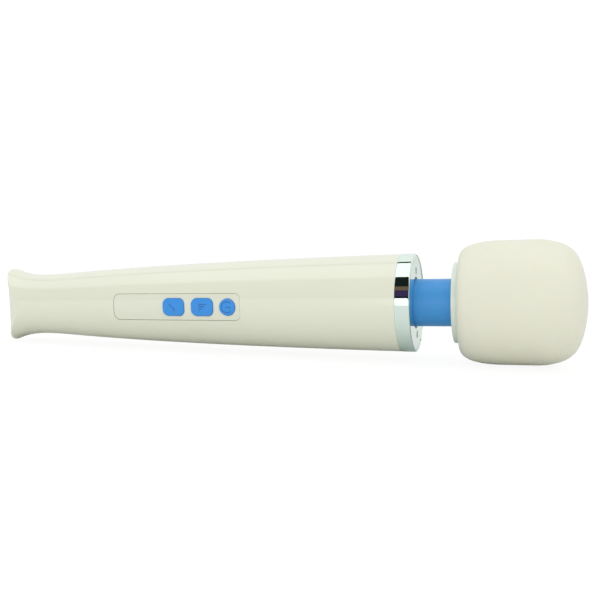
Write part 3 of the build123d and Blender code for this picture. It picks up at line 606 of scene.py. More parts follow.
class Growers:
    """The Geometry Nodes trees that make what repeats or follows a path."""

    def __init__(self, shop: MeshShop) -> None:
        """Build both trees once."""
        self.shop = shop
        self.ring_tree = self._ring_tree()
        self.bead_tree = self._bead_tree()

    @staticmethod
    def _ring_tree() -> bpy.types.NodeTree:
        """Build the tree that sets copies of a piece in a ring about X."""
        kit = NodeTree("ring_of_pieces")
        kit.socket("Geometry", "NodeSocketGeometry", "OUTPUT")
        for name, kind, value in (("Piece", "NodeSocketObject", None), ("Count", "NodeSocketInt", 3),
                                  ("Radius", "NodeSocketFloat", 0.01), ("Start", "NodeSocketFloat", 0.0),
                                  ("Material", "NodeSocketMaterial", None)):
            kit.socket(name, kind, value=value)
        start, end = kit.ends()
        line = kit.node("GeometryNodeMeshLine")
        kit.link(start.outputs["Count"], line.inputs["Count"])
        line.inputs["Offset"].default_value = (0, 0, 0)
        index = kit.node("GeometryNodeInputIndex")
        share = kit.node("ShaderNodeMath", operation="DIVIDE")
        kit.link(index.outputs["Index"], share.inputs[0])
        kit.link(start.outputs["Count"], share.inputs[1])
        angle = kit.node("ShaderNodeMath", operation="MULTIPLY_ADD")
        kit.link(share.outputs[0], angle.inputs[0])
        angle.inputs[1].default_value = 2 * math.pi
        kit.link(start.outputs["Start"], angle.inputs[2])
        spokes = kit.node("ShaderNodeCombineXYZ")
        for name, operation in (("Y", "COSINE"), ("Z", "SINE")):
            part = kit.node("ShaderNodeMath", operation=operation)
            reach = kit.node("ShaderNodeMath", operation="MULTIPLY")
            kit.link(angle.outputs[0], part.inputs[0])
            kit.link(part.outputs[0], reach.inputs[0])
            kit.link(start.outputs["Radius"], reach.inputs[1])
            kit.link(reach.outputs[0], spokes.inputs[name])
        place = kit.node("GeometryNodeSetPosition")
        kit.link(line.outputs["Mesh"], place.inputs["Geometry"])
        kit.link(spokes.outputs[0], place.inputs["Position"])
        piece = kit.node("GeometryNodeObjectInfo")
        kit.link(start.outputs["Piece"], piece.inputs["Object"])
        copies = kit.node("GeometryNodeInstanceOnPoints")
        kit.link(place.outputs["Geometry"], copies.inputs["Points"])
        kit.link(piece.outputs["Geometry"], copies.inputs["Instance"])
        turn = kit.node("ShaderNodeCombineXYZ")
        kit.link(angle.outputs[0], turn.inputs["X"])
        kit.link(turn.outputs[0], copies.inputs["Rotation"])
        kit.finish(copies.outputs["Instances"], start, end)
        return kit.tree

    @staticmethod
    def _bead_tree() -> bpy.types.NodeTree:
        """Build the tree that runs a round bead along a piece's edges."""
        kit = NodeTree("bead_on_path")
        kit.socket("Geometry", "NodeSocketGeometry")
        kit.socket("Geometry", "NodeSocketGeometry", "OUTPUT")
        kit.socket("Radius", "NodeSocketFloat", value=0.0002)
        kit.socket("Sides", "NodeSocketInt", value=10)
        kit.socket("Material", "NodeSocketMaterial")
        start, end = kit.ends()
        path = kit.node("GeometryNodeMeshToCurve")
        kit.link(start.outputs["Geometry"], path.inputs["Mesh"])
        circle = kit.node("GeometryNodeCurvePrimitiveCircle")
        kit.link(start.outputs["Radius"], circle.inputs["Radius"])
        kit.link(start.outputs["Sides"], circle.inputs["Resolution"])
        bead = kit.node("GeometryNodeCurveToMesh")
        bead.inputs["Fill Caps"].default_value = True
        kit.link(path.outputs["Curve"], bead.inputs["Curve"])
        kit.link(circle.outputs["Curve"], bead.inputs["Profile Curve"])
        kit.finish(bead.outputs["Mesh"], start, end)
        return kit.tree

    def grow(self, name: str, mesh: bpy.types.Mesh, tree: bpy.types.NodeTree,
             values: dict[str, object]) -> bpy.types.Object:
        """Run a tree on a new object and keep its plain mesh.

        Args:
            name: the new object's name.
            mesh: what the tree starts from.
            tree: the tree.
            values: its inputs by name.

        Returns:
            The grown object.
        """
        piece = bpy.data.objects.new(name, mesh)
        bpy.context.scene.collection.objects.link(piece)
        modifier = piece.modifiers.new("grow", "NODES")
        modifier.node_group = tree
        for item in tree.interface.items_tree:
            if item.item_type == "SOCKET" and item.in_out == "INPUT" and item.name in values:
                modifier[item.identifier] = values[item.name]
        return self.shop.bake(piece)

    def ring(self, name: str, piece: bpy.types.Object, count: int, radius: float, start: float,
             material: bpy.types.Material) -> bpy.types.Object:
        """Set copies of a piece, drawn on the wand's axis, in a ring about that axis.

        Args:
            name: the group's name.
            piece: the piece, in millimetres about the origin's X axis; it is removed.
            count: how many copies.
            radius: the ring's radius in millimetres.
            start: the first copy's angle from +Y, in radians.
            material: what they are made of.

        Returns:
            The group as one plain mesh in its place.
        """
        values = {"Piece": piece, "Count": count, "Radius": radius, "Start": start, "Material": material}
        group = self.grow(name, bpy.data.meshes.new(name), self.ring_tree, values)
        group.data.transform(self.shop.wand.matrix)
        bpy.data.objects.remove(piece)
        return group

    def bead(self, name: str, lines: Sequence[Sequence[Point3]], radius: float, material: bpy.types.Material,
             sides: int = 10) -> bpy.types.Object:
        """Run a round bead along lines.

        Args:
            name: the piece's name.
            lines: each line's points, in wand millimetres.
            radius: the bead's radius in millimetres.
            material: what it is made of.
            sides: flats round the bead.

        Returns:
            The bead as a plain mesh.
        """
        mesh = bpy.data.meshes.new(name)
        points: list[Vector] = []
        edges: list[tuple[int, int]] = []
        for line in lines:
            first = len(points)
            points += [self.shop.wand.matrix @ Vector(p) for p in line]
            edges += [(first + k, first + k + 1) for k in range(len(line) - 1)]
        mesh.from_pydata(points, edges, [])
        values = {"Radius": radius * MM, "Sides": sides, "Material": material}
        return self.grow(name, mesh, self.bead_tree, values)


# ------------------------------------------------------------------ finishes
class FinishShop:
    """Builds the shared shader groups once, and materials that use them."""

    def __init__(self) -> None:
        """Build the groups."""
        self.tone = self._tone_group()
        self.grain = self._grain_group()

    @staticmethod
    def _group(name: str, inputs: Sequence[tuple[str, str, object]],
               outputs: Sequence[tuple[str, str]]) -> bpy.types.NodeTree:
        """Start a shader group with named inputs and outputs."""
        group = bpy.data.node_groups.new(name, "ShaderNodeTree")
        for label, kind, value in inputs:
            group.interface.new_socket(name=label, in_out="INPUT", socket_type=kind).default_value = value
        for label, kind in outputs:
            group.interface.new_socket(name=label, in_out="OUTPUT", socket_type=kind)
        return group

    def _tone_group(self) -> bpy.types.NodeTree:
        """Build the slow drift of a colour over a moulded surface."""
        inputs = [("Color", "NodeSocketColor", (1, 1, 1, 1)), ("Scale", "NodeSocketFloat", 40.0),
                  ("Amount", "NodeSocketFloat", 0.04)]
        group = self._group("tone_drift", inputs, [("Color", "NodeSocketColor")])
        nodes, links = group.nodes, group.links
        start, end = nodes.new("NodeGroupInput"), nodes.new("NodeGroupOutput")
        place = nodes.new("ShaderNodeTexCoord")
        cloud = nodes.new("ShaderNodeTexNoise")
        cloud.inputs["Detail"].default_value = 3.0
        links.new(place.outputs["Object"], cloud.inputs["Vector"])
        links.new(start.outputs["Scale"], cloud.inputs["Scale"])
        centre = nodes.new("ShaderNodeMath")
        centre.operation = "SUBTRACT"
        centre.inputs[1].default_value = 0.5
        links.new(cloud.outputs["Fac"], centre.inputs[0])
        gain = nodes.new("ShaderNodeMath")
        gain.operation = "MULTIPLY_ADD"
        gain.inputs[2].default_value = 1.0
        links.new(centre.outputs[0], gain.inputs[0])
        links.new(start.outputs["Amount"], gain.inputs[1])
        mix = nodes.new("ShaderNodeVectorMath")
        mix.operation = "SCALE"
        links.new(start.outputs["Color"], mix.inputs[0])
        links.new(gain.outputs[0], mix.inputs["Scale"])
        links.new(mix.outputs[0], end.inputs["Color"])
        return group

    def _grain_group(self) -> bpy.types.NodeTree:
        """Build the fine texture: a height for the bump and a drifting roughness."""
        inputs = [("Scale", "NodeSocketFloat", 900.0), ("Stretch", "NodeSocketVector", (1.0, 1.0, 1.0)),
                  ("Detail", "NodeSocketFloat", 2.0), ("Roughness", "NodeSocketFloat", 0.3),
                  ("Drift", "NodeSocketFloat", 0.05)]
        outputs = [("Height", "NodeSocketFloat"), ("Roughness", "NodeSocketFloat")]
        group = self._group("surface_grain", inputs, outputs)
        nodes, links = group.nodes, group.links
        start, end = nodes.new("NodeGroupInput"), nodes.new("NodeGroupOutput")
        place = nodes.new("ShaderNodeTexCoord")
        stretch = nodes.new("ShaderNodeVectorMath")
        stretch.operation = "MULTIPLY"
        links.new(place.outputs["Object"], stretch.inputs[0])
        links.new(start.outputs["Stretch"], stretch.inputs[1])
        fine = nodes.new("ShaderNodeTexNoise")
        links.new(stretch.outputs[0], fine.inputs["Vector"])
        links.new(start.outputs["Scale"], fine.inputs["Scale"])
        links.new(start.outputs["Detail"], fine.inputs["Detail"])
        links.new(fine.outputs["Fac"], end.inputs["Height"])
        patches = nodes.new("ShaderNodeTexNoise")
        patches.inputs["Scale"].default_value = 55.0
        patches.inputs["Detail"].default_value = 4.0
        links.new(place.outputs["Object"], patches.inputs["Vector"])
        centre = nodes.new("ShaderNodeMath")
        centre.operation = "SUBTRACT"
        centre.inputs[1].default_value = 0.5
        links.new(patches.outputs["Fac"], centre.inputs[0])
        gain = nodes.new("ShaderNodeMath")
        gain.operation = "MULTIPLY_ADD"
        links.new(centre.outputs[0], gain.inputs[0])
        links.new(start.outputs["Drift"], gain.inputs[1])
        links.new(start.outputs["Roughness"], gain.inputs[2])
        links.new(gain.outputs[0], end.inputs["Roughness"])
        return group


@dataclass(frozen=True)
class Finish:
    """One material: its colour, gloss and fine texture."""

    name: str
    colour: Colour
    roughness: float
    grain: Grain = Grain.PEEL
    grain_scale: float = 900.0
    grain_depth: float = 0.00001
    drift: float = 0.05
    tone: float = 0.05
    tone_scale: float = 40.0
    metallic: float = 0.0
    coat: float = 0.0
    sheen: float = 0.0
    specular: float = 0.5
    subsurface: float = 0.0

    def build(self, kit: FinishShop) -> bpy.types.Material:
        """Make the material, with its shader in the material itself.

        Args:
            kit: the shared shader groups.

        Returns:
            The material.
        """
        material = bpy.data.materials.new(self.name)
        material.use_nodes = True
        nodes, links = material.node_tree.nodes, material.node_tree.links
        shader = nodes["Principled BSDF"]
        tone = nodes.new("ShaderNodeGroup")
        tone.node_tree = kit.tone
        tone.inputs["Color"].default_value = (*self.colour, 1)
        tone.inputs["Scale"].default_value = self.tone_scale
        tone.inputs["Amount"].default_value = self.tone
        links.new(tone.outputs["Color"], shader.inputs["Base Color"])
        grain = nodes.new("ShaderNodeGroup")
        grain.node_tree = kit.grain
        stretch = {Grain.PEEL: (0.35, 1.0, 1.0), Grain.MATTE: (1.0, 1.0, 1.0),
                   Grain.BRUSHED: (0.04, 1.0, 1.0)}
        grain.inputs["Scale"].default_value = self.grain_scale
        grain.inputs["Stretch"].default_value = stretch[self.grain]
        grain.inputs["Detail"].default_value = 1.0 if self.grain is Grain.PEEL else 4.0
        grain.inputs["Roughness"].default_value = self.roughness
        grain.inputs["Drift"].default_value = self.drift
        links.new(grain.outputs["Roughness"], shader.inputs["Roughness"])
        bump = nodes.new("ShaderNodeBump")
        bump.inputs["Strength"].default_value = 1.0
        bump.inputs["Distance"].default_value = self.grain_depth
        links.new(grain.outputs["Height"], bump.inputs["Height"])
        links.new(bump.outputs["Normal"], shader.inputs["Normal"])
        shader.inputs["Metallic"].default_value = self.metallic
        shader.inputs["Specular IOR Level"].default_value = self.specular
        shader.inputs["Coat Weight"].default_value = self.coat
        shader.inputs["Coat Roughness"].default_value = 0.04
        shader.inputs["Sheen Weight"].default_value = self.sheen
        shader.inputs["Subsurface Weight"].default_value = self.subsurface
        shader.inputs["Subsurface Scale"].default_value = 0.002
        return material


FINISHES = {
    "casing_ivory": Finish("casing_ivory", (0.78, 0.80, 0.66), 0.16, grain_scale=260.0,
                           grain_depth=0.00004, coat=0.35, drift=0.05, tone=0.03, tone_scale=30.0),
    "panel_ivory": Finish("panel_ivory", (0.77, 0.79, 0.655), 0.2, grain_scale=300.0,
                          grain_depth=0.00003, coat=0.3, drift=0.04, tone=0.03),
    "button_blue": Finish("button_blue", (0.035, 0.285, 0.78), 0.38, Grain.MATTE, 2600.0, 0.00002,
                          tone=0.06, tone_scale=150.0),
    "button_icon": Finish("button_icon", (0.02, 0.10, 0.36), 0.5, Grain.MATTE, 2600.0, 0.00001),
    "bright_chrome": Finish("bright_chrome", (0.78, 0.91, 0.84), 0.035, grain_scale=150.0,
                            grain_depth=0.000004, metallic=1.0, drift=0.03, tone=0.02),
    "neck_blue": Finish("neck_blue", (0.050, 0.325, 0.76), 0.42, Grain.MATTE, 1800.0, 0.00003, coat=0.05,
                        drift=0.1, tone=0.10, tone_scale=60.0),
    "collar_mint": Finish("collar_mint", (0.74, 0.83, 0.74), 0.22, grain_scale=300.0,
                          grain_depth=0.00002, coat=0.3),
    "head_silicone": Finish("head_silicone", (0.80, 0.80, 0.665), 0.56, Grain.MATTE, 2400.0, 0.00006,
                            drift=0.1, tone=0.04, tone_scale=45.0, sheen=0.12, subsurface=0.08,
                            specular=0.4),
    "port_black": Finish("port_black", (0.012, 0.012, 0.014), 0.35, Grain.MATTE, 1500.0, 0.00003),
    "screw_steel": Finish("screw_steel", (0.55, 0.56, 0.57), 0.28, Grain.BRUSHED, 2500.0, 0.00001,
                          metallic=1.0, drift=0.12),
    "core_plastic": Finish("core_plastic", (0.6, 0.6, 0.56), 0.42, Grain.MATTE, 1200.0, 0.00003),
    "pad_silicone": Finish("pad_silicone", (0.1, 0.11, 0.12), 0.6, Grain.MATTE, 1500.0, 0.00004,
                           sheen=0.1),
    "board_green": Finish("board_green", (0.01, 0.07, 0.025), 0.3, grain_scale=1200.0,
                          grain_depth=0.00002, coat=0.3),
    "cell_wrap": Finish("cell_wrap", (0.02, 0.12, 0.35), 0.25, grain_scale=500.0, grain_depth=0.00003,
                        coat=0.2),
    "lead_red": Finish("lead_red", (0.35, 0.015, 0.012), 0.4, Grain.MATTE, 1500.0, 0.00002),
    "contact_brass": Finish("contact_brass", (0.62, 0.42, 0.14), 0.25, Grain.BRUSHED, 2000.0, 0.00001,
                            metallic=1.0),
    "wound_iron": Finish("wound_iron", (0.12, 0.11, 0.10), 0.45, Grain.MATTE, 900.0, 0.00005,
                         metallic=0.8),
}


# ------------------------------------------------------------------ sub-assemblies
@dataclass
class Workshop:
    """What every sub-assembly builds with."""

    wand: WandFrame
    form: HandleForm
    shop: MeshShop
    pads: PadShop
    growers: Growers
    paint: dict[str, bpy.types.Material]

    def dress(self, piece: bpy.types.Object, slot: str, finish: str | None = None) -> bpy.types.Object:
        """Give a piece its finish: the slot's own finish, or another one when it is named."""
        piece.data.materials.clear()
        piece.data.materials.append(self.paint[finish or slot])
        return piece

    def put(self, piece: bpy.types.Object, body: Body, slot: str, *nodes: str) -> bpy.types.Object:
        """Dress a piece, let it ride on a body and stand for CAD nodes."""
        self.dress(piece, slot)
        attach(piece, body.value)
        if nodes:
            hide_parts(*nodes)
        LOG.info("%s rides on %s, %d faces", piece.name, body.value, len(piece.data.polygons))
        return piece


@dataclass
class Keypad:
    """The control panel with its three buttons and their marks."""

    panel: Pad = Pad(117.65, 75.5, 14.1, 3.0)
    thickness: float = 1.15
    groove: float = 0.14
    inset: float = 0.08
    panel_edge: float = 0.35
    button_edge: float = 0.5
    button_proud: float = 0.8
    button_depth: float = 2.3
    clearance: float = 0.15
    crown: float = 0.18
    button_width: float = 9.4
    button_corner: float = 3.1
    mark_radius: float = 0.21
    mark_proud: float = 0.02
    mark_sink: float = 0.55
    mark_step: float = 0.35
    window_depth: float = 4.0
    flange_depth: float = 1.4
    back_gap: float = 0.03
    buttons: dict[Body, Pad] = field(default_factory=dict)

    def measure(self, wand: WandFrame) -> None:
        """Take the panel's and the buttons' places from the CAD nodes."""
        low, high = wand.span("control_panel")
        self.panel = Pad((low.x + high.x) / 2, high.x - low.x, self.panel.width, self.panel.corner)
        for body in (Body.PATTERN, Body.INTENSITY, Body.POWER):
            flange_low, flange_high = wand.span(f"{body.value}_button")
            top_low, top_high = self.top_span(wand, f"{body.value}_button")
            middle, length = (top_low + top_high) / 2, top_high - top_low
            round_one = body is Body.POWER
            width = length if round_one else self.button_width
            corner = length / 2 - 0.01 if round_one else self.button_corner
            self.buttons[body] = Pad(middle, length, width, corner)
            LOG.info("%s button at %.2f, length %.2f, flange %.2f", body.value, middle, length,
                     flange_high.x - flange_low.x)

    def top_span(self, wand: WandFrame, node: str) -> tuple[float, float]:
        """Find a button's length at its face, which lies past its hidden flange."""
        back = wand.matrix.inverted()
        points = [back @ v.co for v in wand.frame["nodes"][node].data.vertices]
        face = min(p.y for p in points)
        top = [p.x for p in points if p.y < face + self.flange_depth]
        return min(top), max(top)

    def openings(self, work: Workshop) -> list[bpy.types.Object]:
        """Make the tools that cut the panel's pocket and the buttons' windows into the casing."""
        pocket = self.panel.grown(self.groove)
        return [work.pads.cutter(pocket, self.inset + self.thickness)] + self.windows(work)

    def windows(self, work: Workshop) -> list[bpy.types.Object]:
        """Make the tools that cut the buttons' windows."""
        return [work.pads.cutter(pad.grown(self.clearance), self.window_depth)
                for pad in self.buttons.values()]

    def build(self, work: Workshop) -> None:
        """Build the panel and its buttons."""
        back = -self.inset - self.thickness + self.back_gap
        rings = work.pads.face_rings(self.panel, back, self.panel_edge, -self.inset, 0.0)
        panel = work.pads.solid("control_panel_plate", self.panel, rings)
        work.shop.cut(panel, self.windows(work))
        work.shop.smooth(panel, 30)
        work.shop.true_normals(panel, work.form, (-self.inset,))
        work.put(panel, Body.HANDLE, "panel_ivory", "control_panel")
        for body, pad in self.buttons.items():
            rings = work.pads.face_rings(pad, -self.button_depth, self.button_edge, self.button_proud,
                                         self.crown)
            button = work.pads.solid(f"{body.value}_key", pad, rings, along=14, across=10, arc=14)
            work.shop.smooth(button, 50)
            work.put(button, body, "button_blue", f"{body.value}_button")
            mark = work.growers.bead(f"{body.value}_mark", self.mark(work, body, pad), self.mark_radius,
                                     work.paint["button_icon"])
            work.shop.smooth(mark, 60)
            work.dress(mark, "button_blue", "button_icon")
            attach(mark, body.value)
            LOG.info("%s mark rides on %s", body.value, body.value)

    def mark(self, work: Workshop, body: Body, pad: Pad) -> list[list[Point3]]:
        """Return the lines of a button's mark, laid on its crowned face."""
        return [[self.on_face(work, pad, x, z) for x, z in self.fine(line)] for line in self.drawing(body)]

    def on_face(self, work: Workshop, pad: Pad, x: float, z: float) -> Point3:
        """Return the point on a button's face at (x, z) from its centre."""
        middle = min(pad.length, pad.width) / 2
        flat_x, flat_z = pad.length / 2 - middle, pad.width / 2 - middle
        off = math.hypot(max(abs(x) - flat_x, 0.0), max(abs(z) - flat_z, 0.0))
        share = max(1 - off / (middle - self.button_edge), 0.0)
        rise = self.crown * math.sin(math.pi / 2 * min(share, 1.0))
        outset = self.button_proud + rise + self.mark_proud - self.mark_radius * self.mark_sink
        return pad.x + x, work.form.surface_y(pad.x + x, z, outset), z

    def fine(self, line: Sequence[Point2]) -> list[Point2]:
        """Split a mark's runs into short ones, so that they follow the face."""
        points: list[Point2] = []
        for (x0, z0), (x1, z1) in zip(line, line[1:]):
            parts = max(1, math.ceil(math.hypot(x1 - x0, z1 - z0) / self.mark_step))
            points += [(x0 + (x1 - x0) * k / parts, z0 + (z1 - z0) * k / parts) for k in range(parts)]
        return points + [line[-1]]

    @staticmethod
    def drawing(body: Body) -> list[list[Point2]]:
        """Return a mark's lines in millimetres from the button's centre."""
        if body is Body.PATTERN:
            return [[(-1.1, 2.0), (-1.9, 0.9), (1.1, -1.0), (0.3, -2.1)]]
        if body is Body.INTENSITY:
            return [[(-1.6, z), (x, z)] for x, z in ((3.0, 1.55), (1.8, 0.4), (0.7, -0.8), (-1.0, -1.8))]
        steps = 36
        start, sweep, radius = math.radians(45), math.radians(270), 2.9
        arc = [(radius * math.cos(start + sweep * k / steps), radius * math.sin(start + sweep * k / steps))
               for k in range(steps + 1)]
        return [arc, [(-0.5, 0.0), (2.3, 0.0)]]


@dataclass
class Casing:
    """The two moulded halves of the handle, with the tail's cap and their screws."""

    keypad: Keypad
    wall: float = 2.2
    spigot_radius: float = 22.925
    spigot_wall: float = 1.6
    lip: float = 1.0
    tail_edge: float = 0.22
    edge_stretch: float = 1.6
    cap_recess: float = 0.3
    cap_thickness: float = 2.5
    cap_hole: float = 6.0
    cap_gap: float = 0.03
    turns: int = 96
    runs: int = 120
    run_bias: float = 1.25
    inner_runs: int = 29
    screws: tuple[tuple[float, float], ...] = ((25.5, 0.0), (187.0, 12.0), (187.0, -12.0))
    screw_well: float = 2.75
    screw_head: float = 2.6
    screw_sink: float = 1.2
    screw_shank: float = 1.3
    screw_height: float = 1.0
    screw_edge: float = 0.35
    screw_crown: float = 0.1
    screw_flat: float = 0.9

    def build(self, work: Workshop) -> None:
        """Build both halves, the cap and the screws."""
        front = self.half(work, Side.FRONT)
        work.shop.cut(front, self.keypad.openings(work))
        self.finish_half(work, front, "casing_front", "front_shell")
        rear = self.half(work, Side.REAR)
        work.shop.cut(rear, [self.well(work, x, z) for x, z in self.screws])
        self.finish_half(work, rear, "casing_rear", "rear_shell")
        self.cap(work)
        self.fasteners(work)

    def finish_half(self, work: Workshop, half: bpy.types.Object, name: str, node: str) -> None:
        """Shade a half and put it on the handle."""
        half.name = name
        work.shop.smooth(half, 28)
        work.shop.true_normals(half, work.form, (0.0,))
        work.put(half, Body.HANDLE, "casing_ivory", node)

    def half(self, work: Workshop, side: Side) -> bpy.types.Object:
        """Build one half shell, from its outer face round the tail's rim to its inner face."""
        form = work.form
        points: list[Point3] = []
        rows = []
        end = work.wand.span("end_plate")[0].x
        edge = self.tail_edge * self.edge_stretch
        for k in range(self.turns + 1):
            angle = -math.pi / 2 + math.pi * k / self.turns
            start_out = form.end_x(angle)
            start_in = form.end_x(angle, self.wall)
            row = self.rim(form, angle, start_out)
            for step in range(1, self.runs + 1):
                share = (step / self.runs) ** self.run_bias
                x = start_out + edge + (form.length - start_out - edge) * share
                row.append((x, form.radius(x)))
            row += [(form.length, self.spigot_radius), (end, self.spigot_radius),
                    (end, self.spigot_radius - self.spigot_wall)]
            for step in range(self.inner_runs + 1):
                x = form.length - self.lip + (start_in - form.length + self.lip) * step / self.inner_runs
                row.append((x, form.radius(x) - self.wall))
            rows.append(len(points))
            count = len(row)
            flip = side.value
            points += [(x, flip * r * math.cos(angle), r * math.sin(angle)) for x, r in row]
        faces: list[Sequence[int]] = []
        for here, after in zip(rows, rows[1:]):
            faces += [(here + i, here + (i + 1) % count, after + (i + 1) % count, after + i)
                      for i in range(count)]
        faces += [list(range(row, row + count)) for row in (rows[0], rows[-1])]
        return work.shop.from_faces(f"casing_{side.name.lower()}", points, faces)

    def rim(self, form: HandleForm, angle: float, start: float) -> list[Point2]:
        """Round the tail's rim between its end face and the outer surface."""
        steps = 6
        edge = self.tail_edge * self.edge_stretch
        face = form.end_x(angle, edge)
        row: list[Point2] = []
        low = Vector((face, form.radius(face) - edge))
        corner = Vector((start, form.radius(start)))
        x = start + edge
        high = Vector((x, form.radius(x)))
        for k in range(steps + 1):
            t = k / steps
            row.append(tuple(low * (1 - t) ** 2 + corner * 2 * t * (1 - t) + high * t ** 2))
        return row

    def well(self, work: Workshop, x: float, z: float) -> bpy.types.Object:
        """Make the round tool that sinks a screw's well into the rear half."""
        out = -work.form.surface_y(x, z)
        seat, above = out - self.screw_sink, out + 3
        profile = [(seat, 0.0), (seat, self.screw_well), (above, self.screw_well), (above, 0.0)]
        return self.post(work, "well", x, z, profile)

    @staticmethod
    def post(work: Workshop, name: str, x: float, z: float, profile: Sequence[Point2]) -> bpy.types.Object:
        """Turn a (y, radius) profile about a line along Y."""
        steps = 40
        points: list[Point3] = []
        for k in range(steps):
            angle = 2 * math.pi * k / steps
            points += [(x + r * math.cos(angle), y, z + r * math.sin(angle)) for y, r in profile]
        count = len(profile)
        faces = []
        for k in range(steps):
            here, after = k * count, (k + 1) % steps * count
            faces += [(here + i, after + i, after + i + 1, here + i + 1) for i in range(count - 1)]
        piece = work.shop.from_faces(name, points, faces)
        work.shop.drop_slivers(piece)
        return piece

    def cap(self, work: Workshop) -> None:
        """Build the cap that closes the tail, a patch of the half-round end."""
        form = work.form
        rings, turns = 10, self.turns
        faces: list[Sequence[int]] = []
        points: list[Point3] = []
        rows = []
        for layer in (self.cap_recess, self.cap_recess + self.cap_thickness):
            steps = range(rings + 1) if layer == self.cap_recess else range(rings, -1, -1)
            for step in steps:
                rows.append(len(points))
                for k in range(turns):
                    angle = 2 * math.pi * k / turns
                    reach = form.radius(form.end_x(angle, self.wall)) - self.wall - self.cap_gap
                    radius = self.cap_hole + (reach - self.cap_hole) * step / rings
                    y = radius * math.cos(angle)
                    bend = form.end_radius - self.cap_recess
                    x = form.end_radius - math.sqrt(max(bend ** 2 - y * y, 0.0)) + layer - self.cap_recess
                    points.append((x, y, radius * math.sin(angle)))
        for here, after in zip(rows, rows[1:] + rows[:1]):
            faces += [(here + k, here + (k + 1) % turns, after + (k + 1) % turns, after + k)
                      for k in range(turns)]
        cap = work.shop.from_faces("tail_plate", points, faces)
        work.shop.smooth(cap, 30)
        work.put(cap, Body.HANDLE, "casing_ivory", "tail_cap")

    def fasteners(self, work: Workshop) -> None:
        """Build the casing screws, each with a rounded edge on its head."""
        low, _ = work.wand.span("casing_screws")
        heads = []
        for x, z in self.screws:
            seat = -work.form.surface_y(x, z) - self.screw_sink
            under, rim = seat - self.screw_height, self.screw_head
            profile = [(low.y, 0.0), (low.y, self.screw_shank), (under, self.screw_shank), (under, rim),
                       (seat - self.screw_edge, rim), (seat - self.screw_crown, rim - self.screw_edge),
                       (seat, self.screw_flat), (seat, 0.0)]
            heads.append(self.post(work, "casing_screw", x, z, profile))
        work.shop.join(heads, "casing_screw_set")
        work.shop.smooth(heads[0], 35)
        work.put(heads[0], Body.HANDLE, "screw_steel", "casing_screws")


@dataclass
class RingGroup:
    """The chrome ring at the handle's front, its end plate and the plate's screws."""

    ring_radius: float = 25.0
    ring_wall: float = 2.0
    ring_edge: float = 0.9
    plate_radius: float = 24.18
    hole_radius: float = 13.2
    screw_circle: float = 16.2
    screw_radius: float = 1.8
    screw_seat: float = 0.75
    screw_shank: float = 0.9
    screw_length: float = 6.0
    well_clearance: float = 0.15
    fit: float = 0.02

    def build(self, work: Workshop) -> None:
        """Build the ring, the plate and the screws."""
        low, high = work.wand.span("chrome_ring")
        plate_low, plate_high = work.wand.span("end_plate")
        back, front = plate_low.x, plate_high.x
        inner = self.ring_radius - self.ring_wall
        lip, stop = self.plate_radius + self.fit, back - self.fit
        outline = [(low.x, self.ring_radius, 0.25), (high.x, self.ring_radius, self.ring_edge),
                   (high.x, lip, 0.12), (stop, lip, 0), (stop, inner, 0), (low.x, inner, 0.15)]
        ring = work.shop.lathe("ring_band_piece", dense(rounded(outline, 8), 1.0), 256)
        work.shop.smooth(ring, 40)
        work.put(ring, Body.HANDLE, "bright_chrome", "chrome_ring")
        outline = [(back, self.hole_radius, 0), (back, self.plate_radius, 0),
                   (front, self.plate_radius, 0.15), (front, self.hole_radius, 0.4)]
        plate = work.shop.lathe("front_plate", dense(rounded(outline, 6), 1.5), 256)
        seat, reach = front - self.screw_seat, self.screw_radius + self.well_clearance
        well = [(seat, 0), (seat, reach), (front + 1, reach), (front + 1, 0)]
        wells = [work.shop.lathe("well", well, 32, 0.0, sign * self.screw_circle) for sign in (1, -1)]
        work.shop.cut(plate, wells)
        work.shop.smooth(plate, 30)
        work.put(plate, Body.HANDLE, "bright_chrome", "end_plate")
        screw = screw_on_axis(work, seat, self.screw_radius, self.screw_shank, self.screw_length)
        group = work.growers.ring("plate_screw_set", screw, 2, self.screw_circle, math.pi / 2,
                                  work.paint["screw_steel"])
        work.shop.smooth(group, 35)
        work.put(group, Body.HANDLE, "screw_steel", "end_plate_screws")


def screw_on_axis(work: Workshop, seat: float, head: float, shank: float, length: float) -> bpy.types.Object:
    """Build a slotted screw on the X axis, in bare millimetres, for the ring of fasteners.

    Args:
        work: what to build with.
        seat: x of its head's underside.
        head: the head's radius.
        shank: the shank's radius.
        length: the shank's length.

    Returns:
        The screw, drawn about the origin's X axis.
    """
    height, edge, crown, slot_depth, slot_share = 0.55, 0.2, 0.3, 0.3, 0.16
    top = seat + height
    profile = [(seat - length, 0.0), (seat - length, shank), (seat, shank), (seat, head), (top - edge, head),
               (top, head - crown), (top, 0.0)]
    screw = work.shop.lathe("screw", profile, 32)
    floor, wide = top - slot_depth, head * 2
    slot = work.shop.lathe("slot", [(floor, 0.0), (floor, wide), (top + 1, wide), (top + 1, 0.0)], 4)
    narrow = Matrix.Diagonal((1, slot_share, 1, 1))
    back = work.wand.matrix.inverted()
    slot.data.transform(work.wand.matrix @ narrow @ Matrix.Rotation(math.radians(45), 4, "X") @ back)
    work.shop.cut(screw, [slot])
    screw.data.transform(back)
    return screw


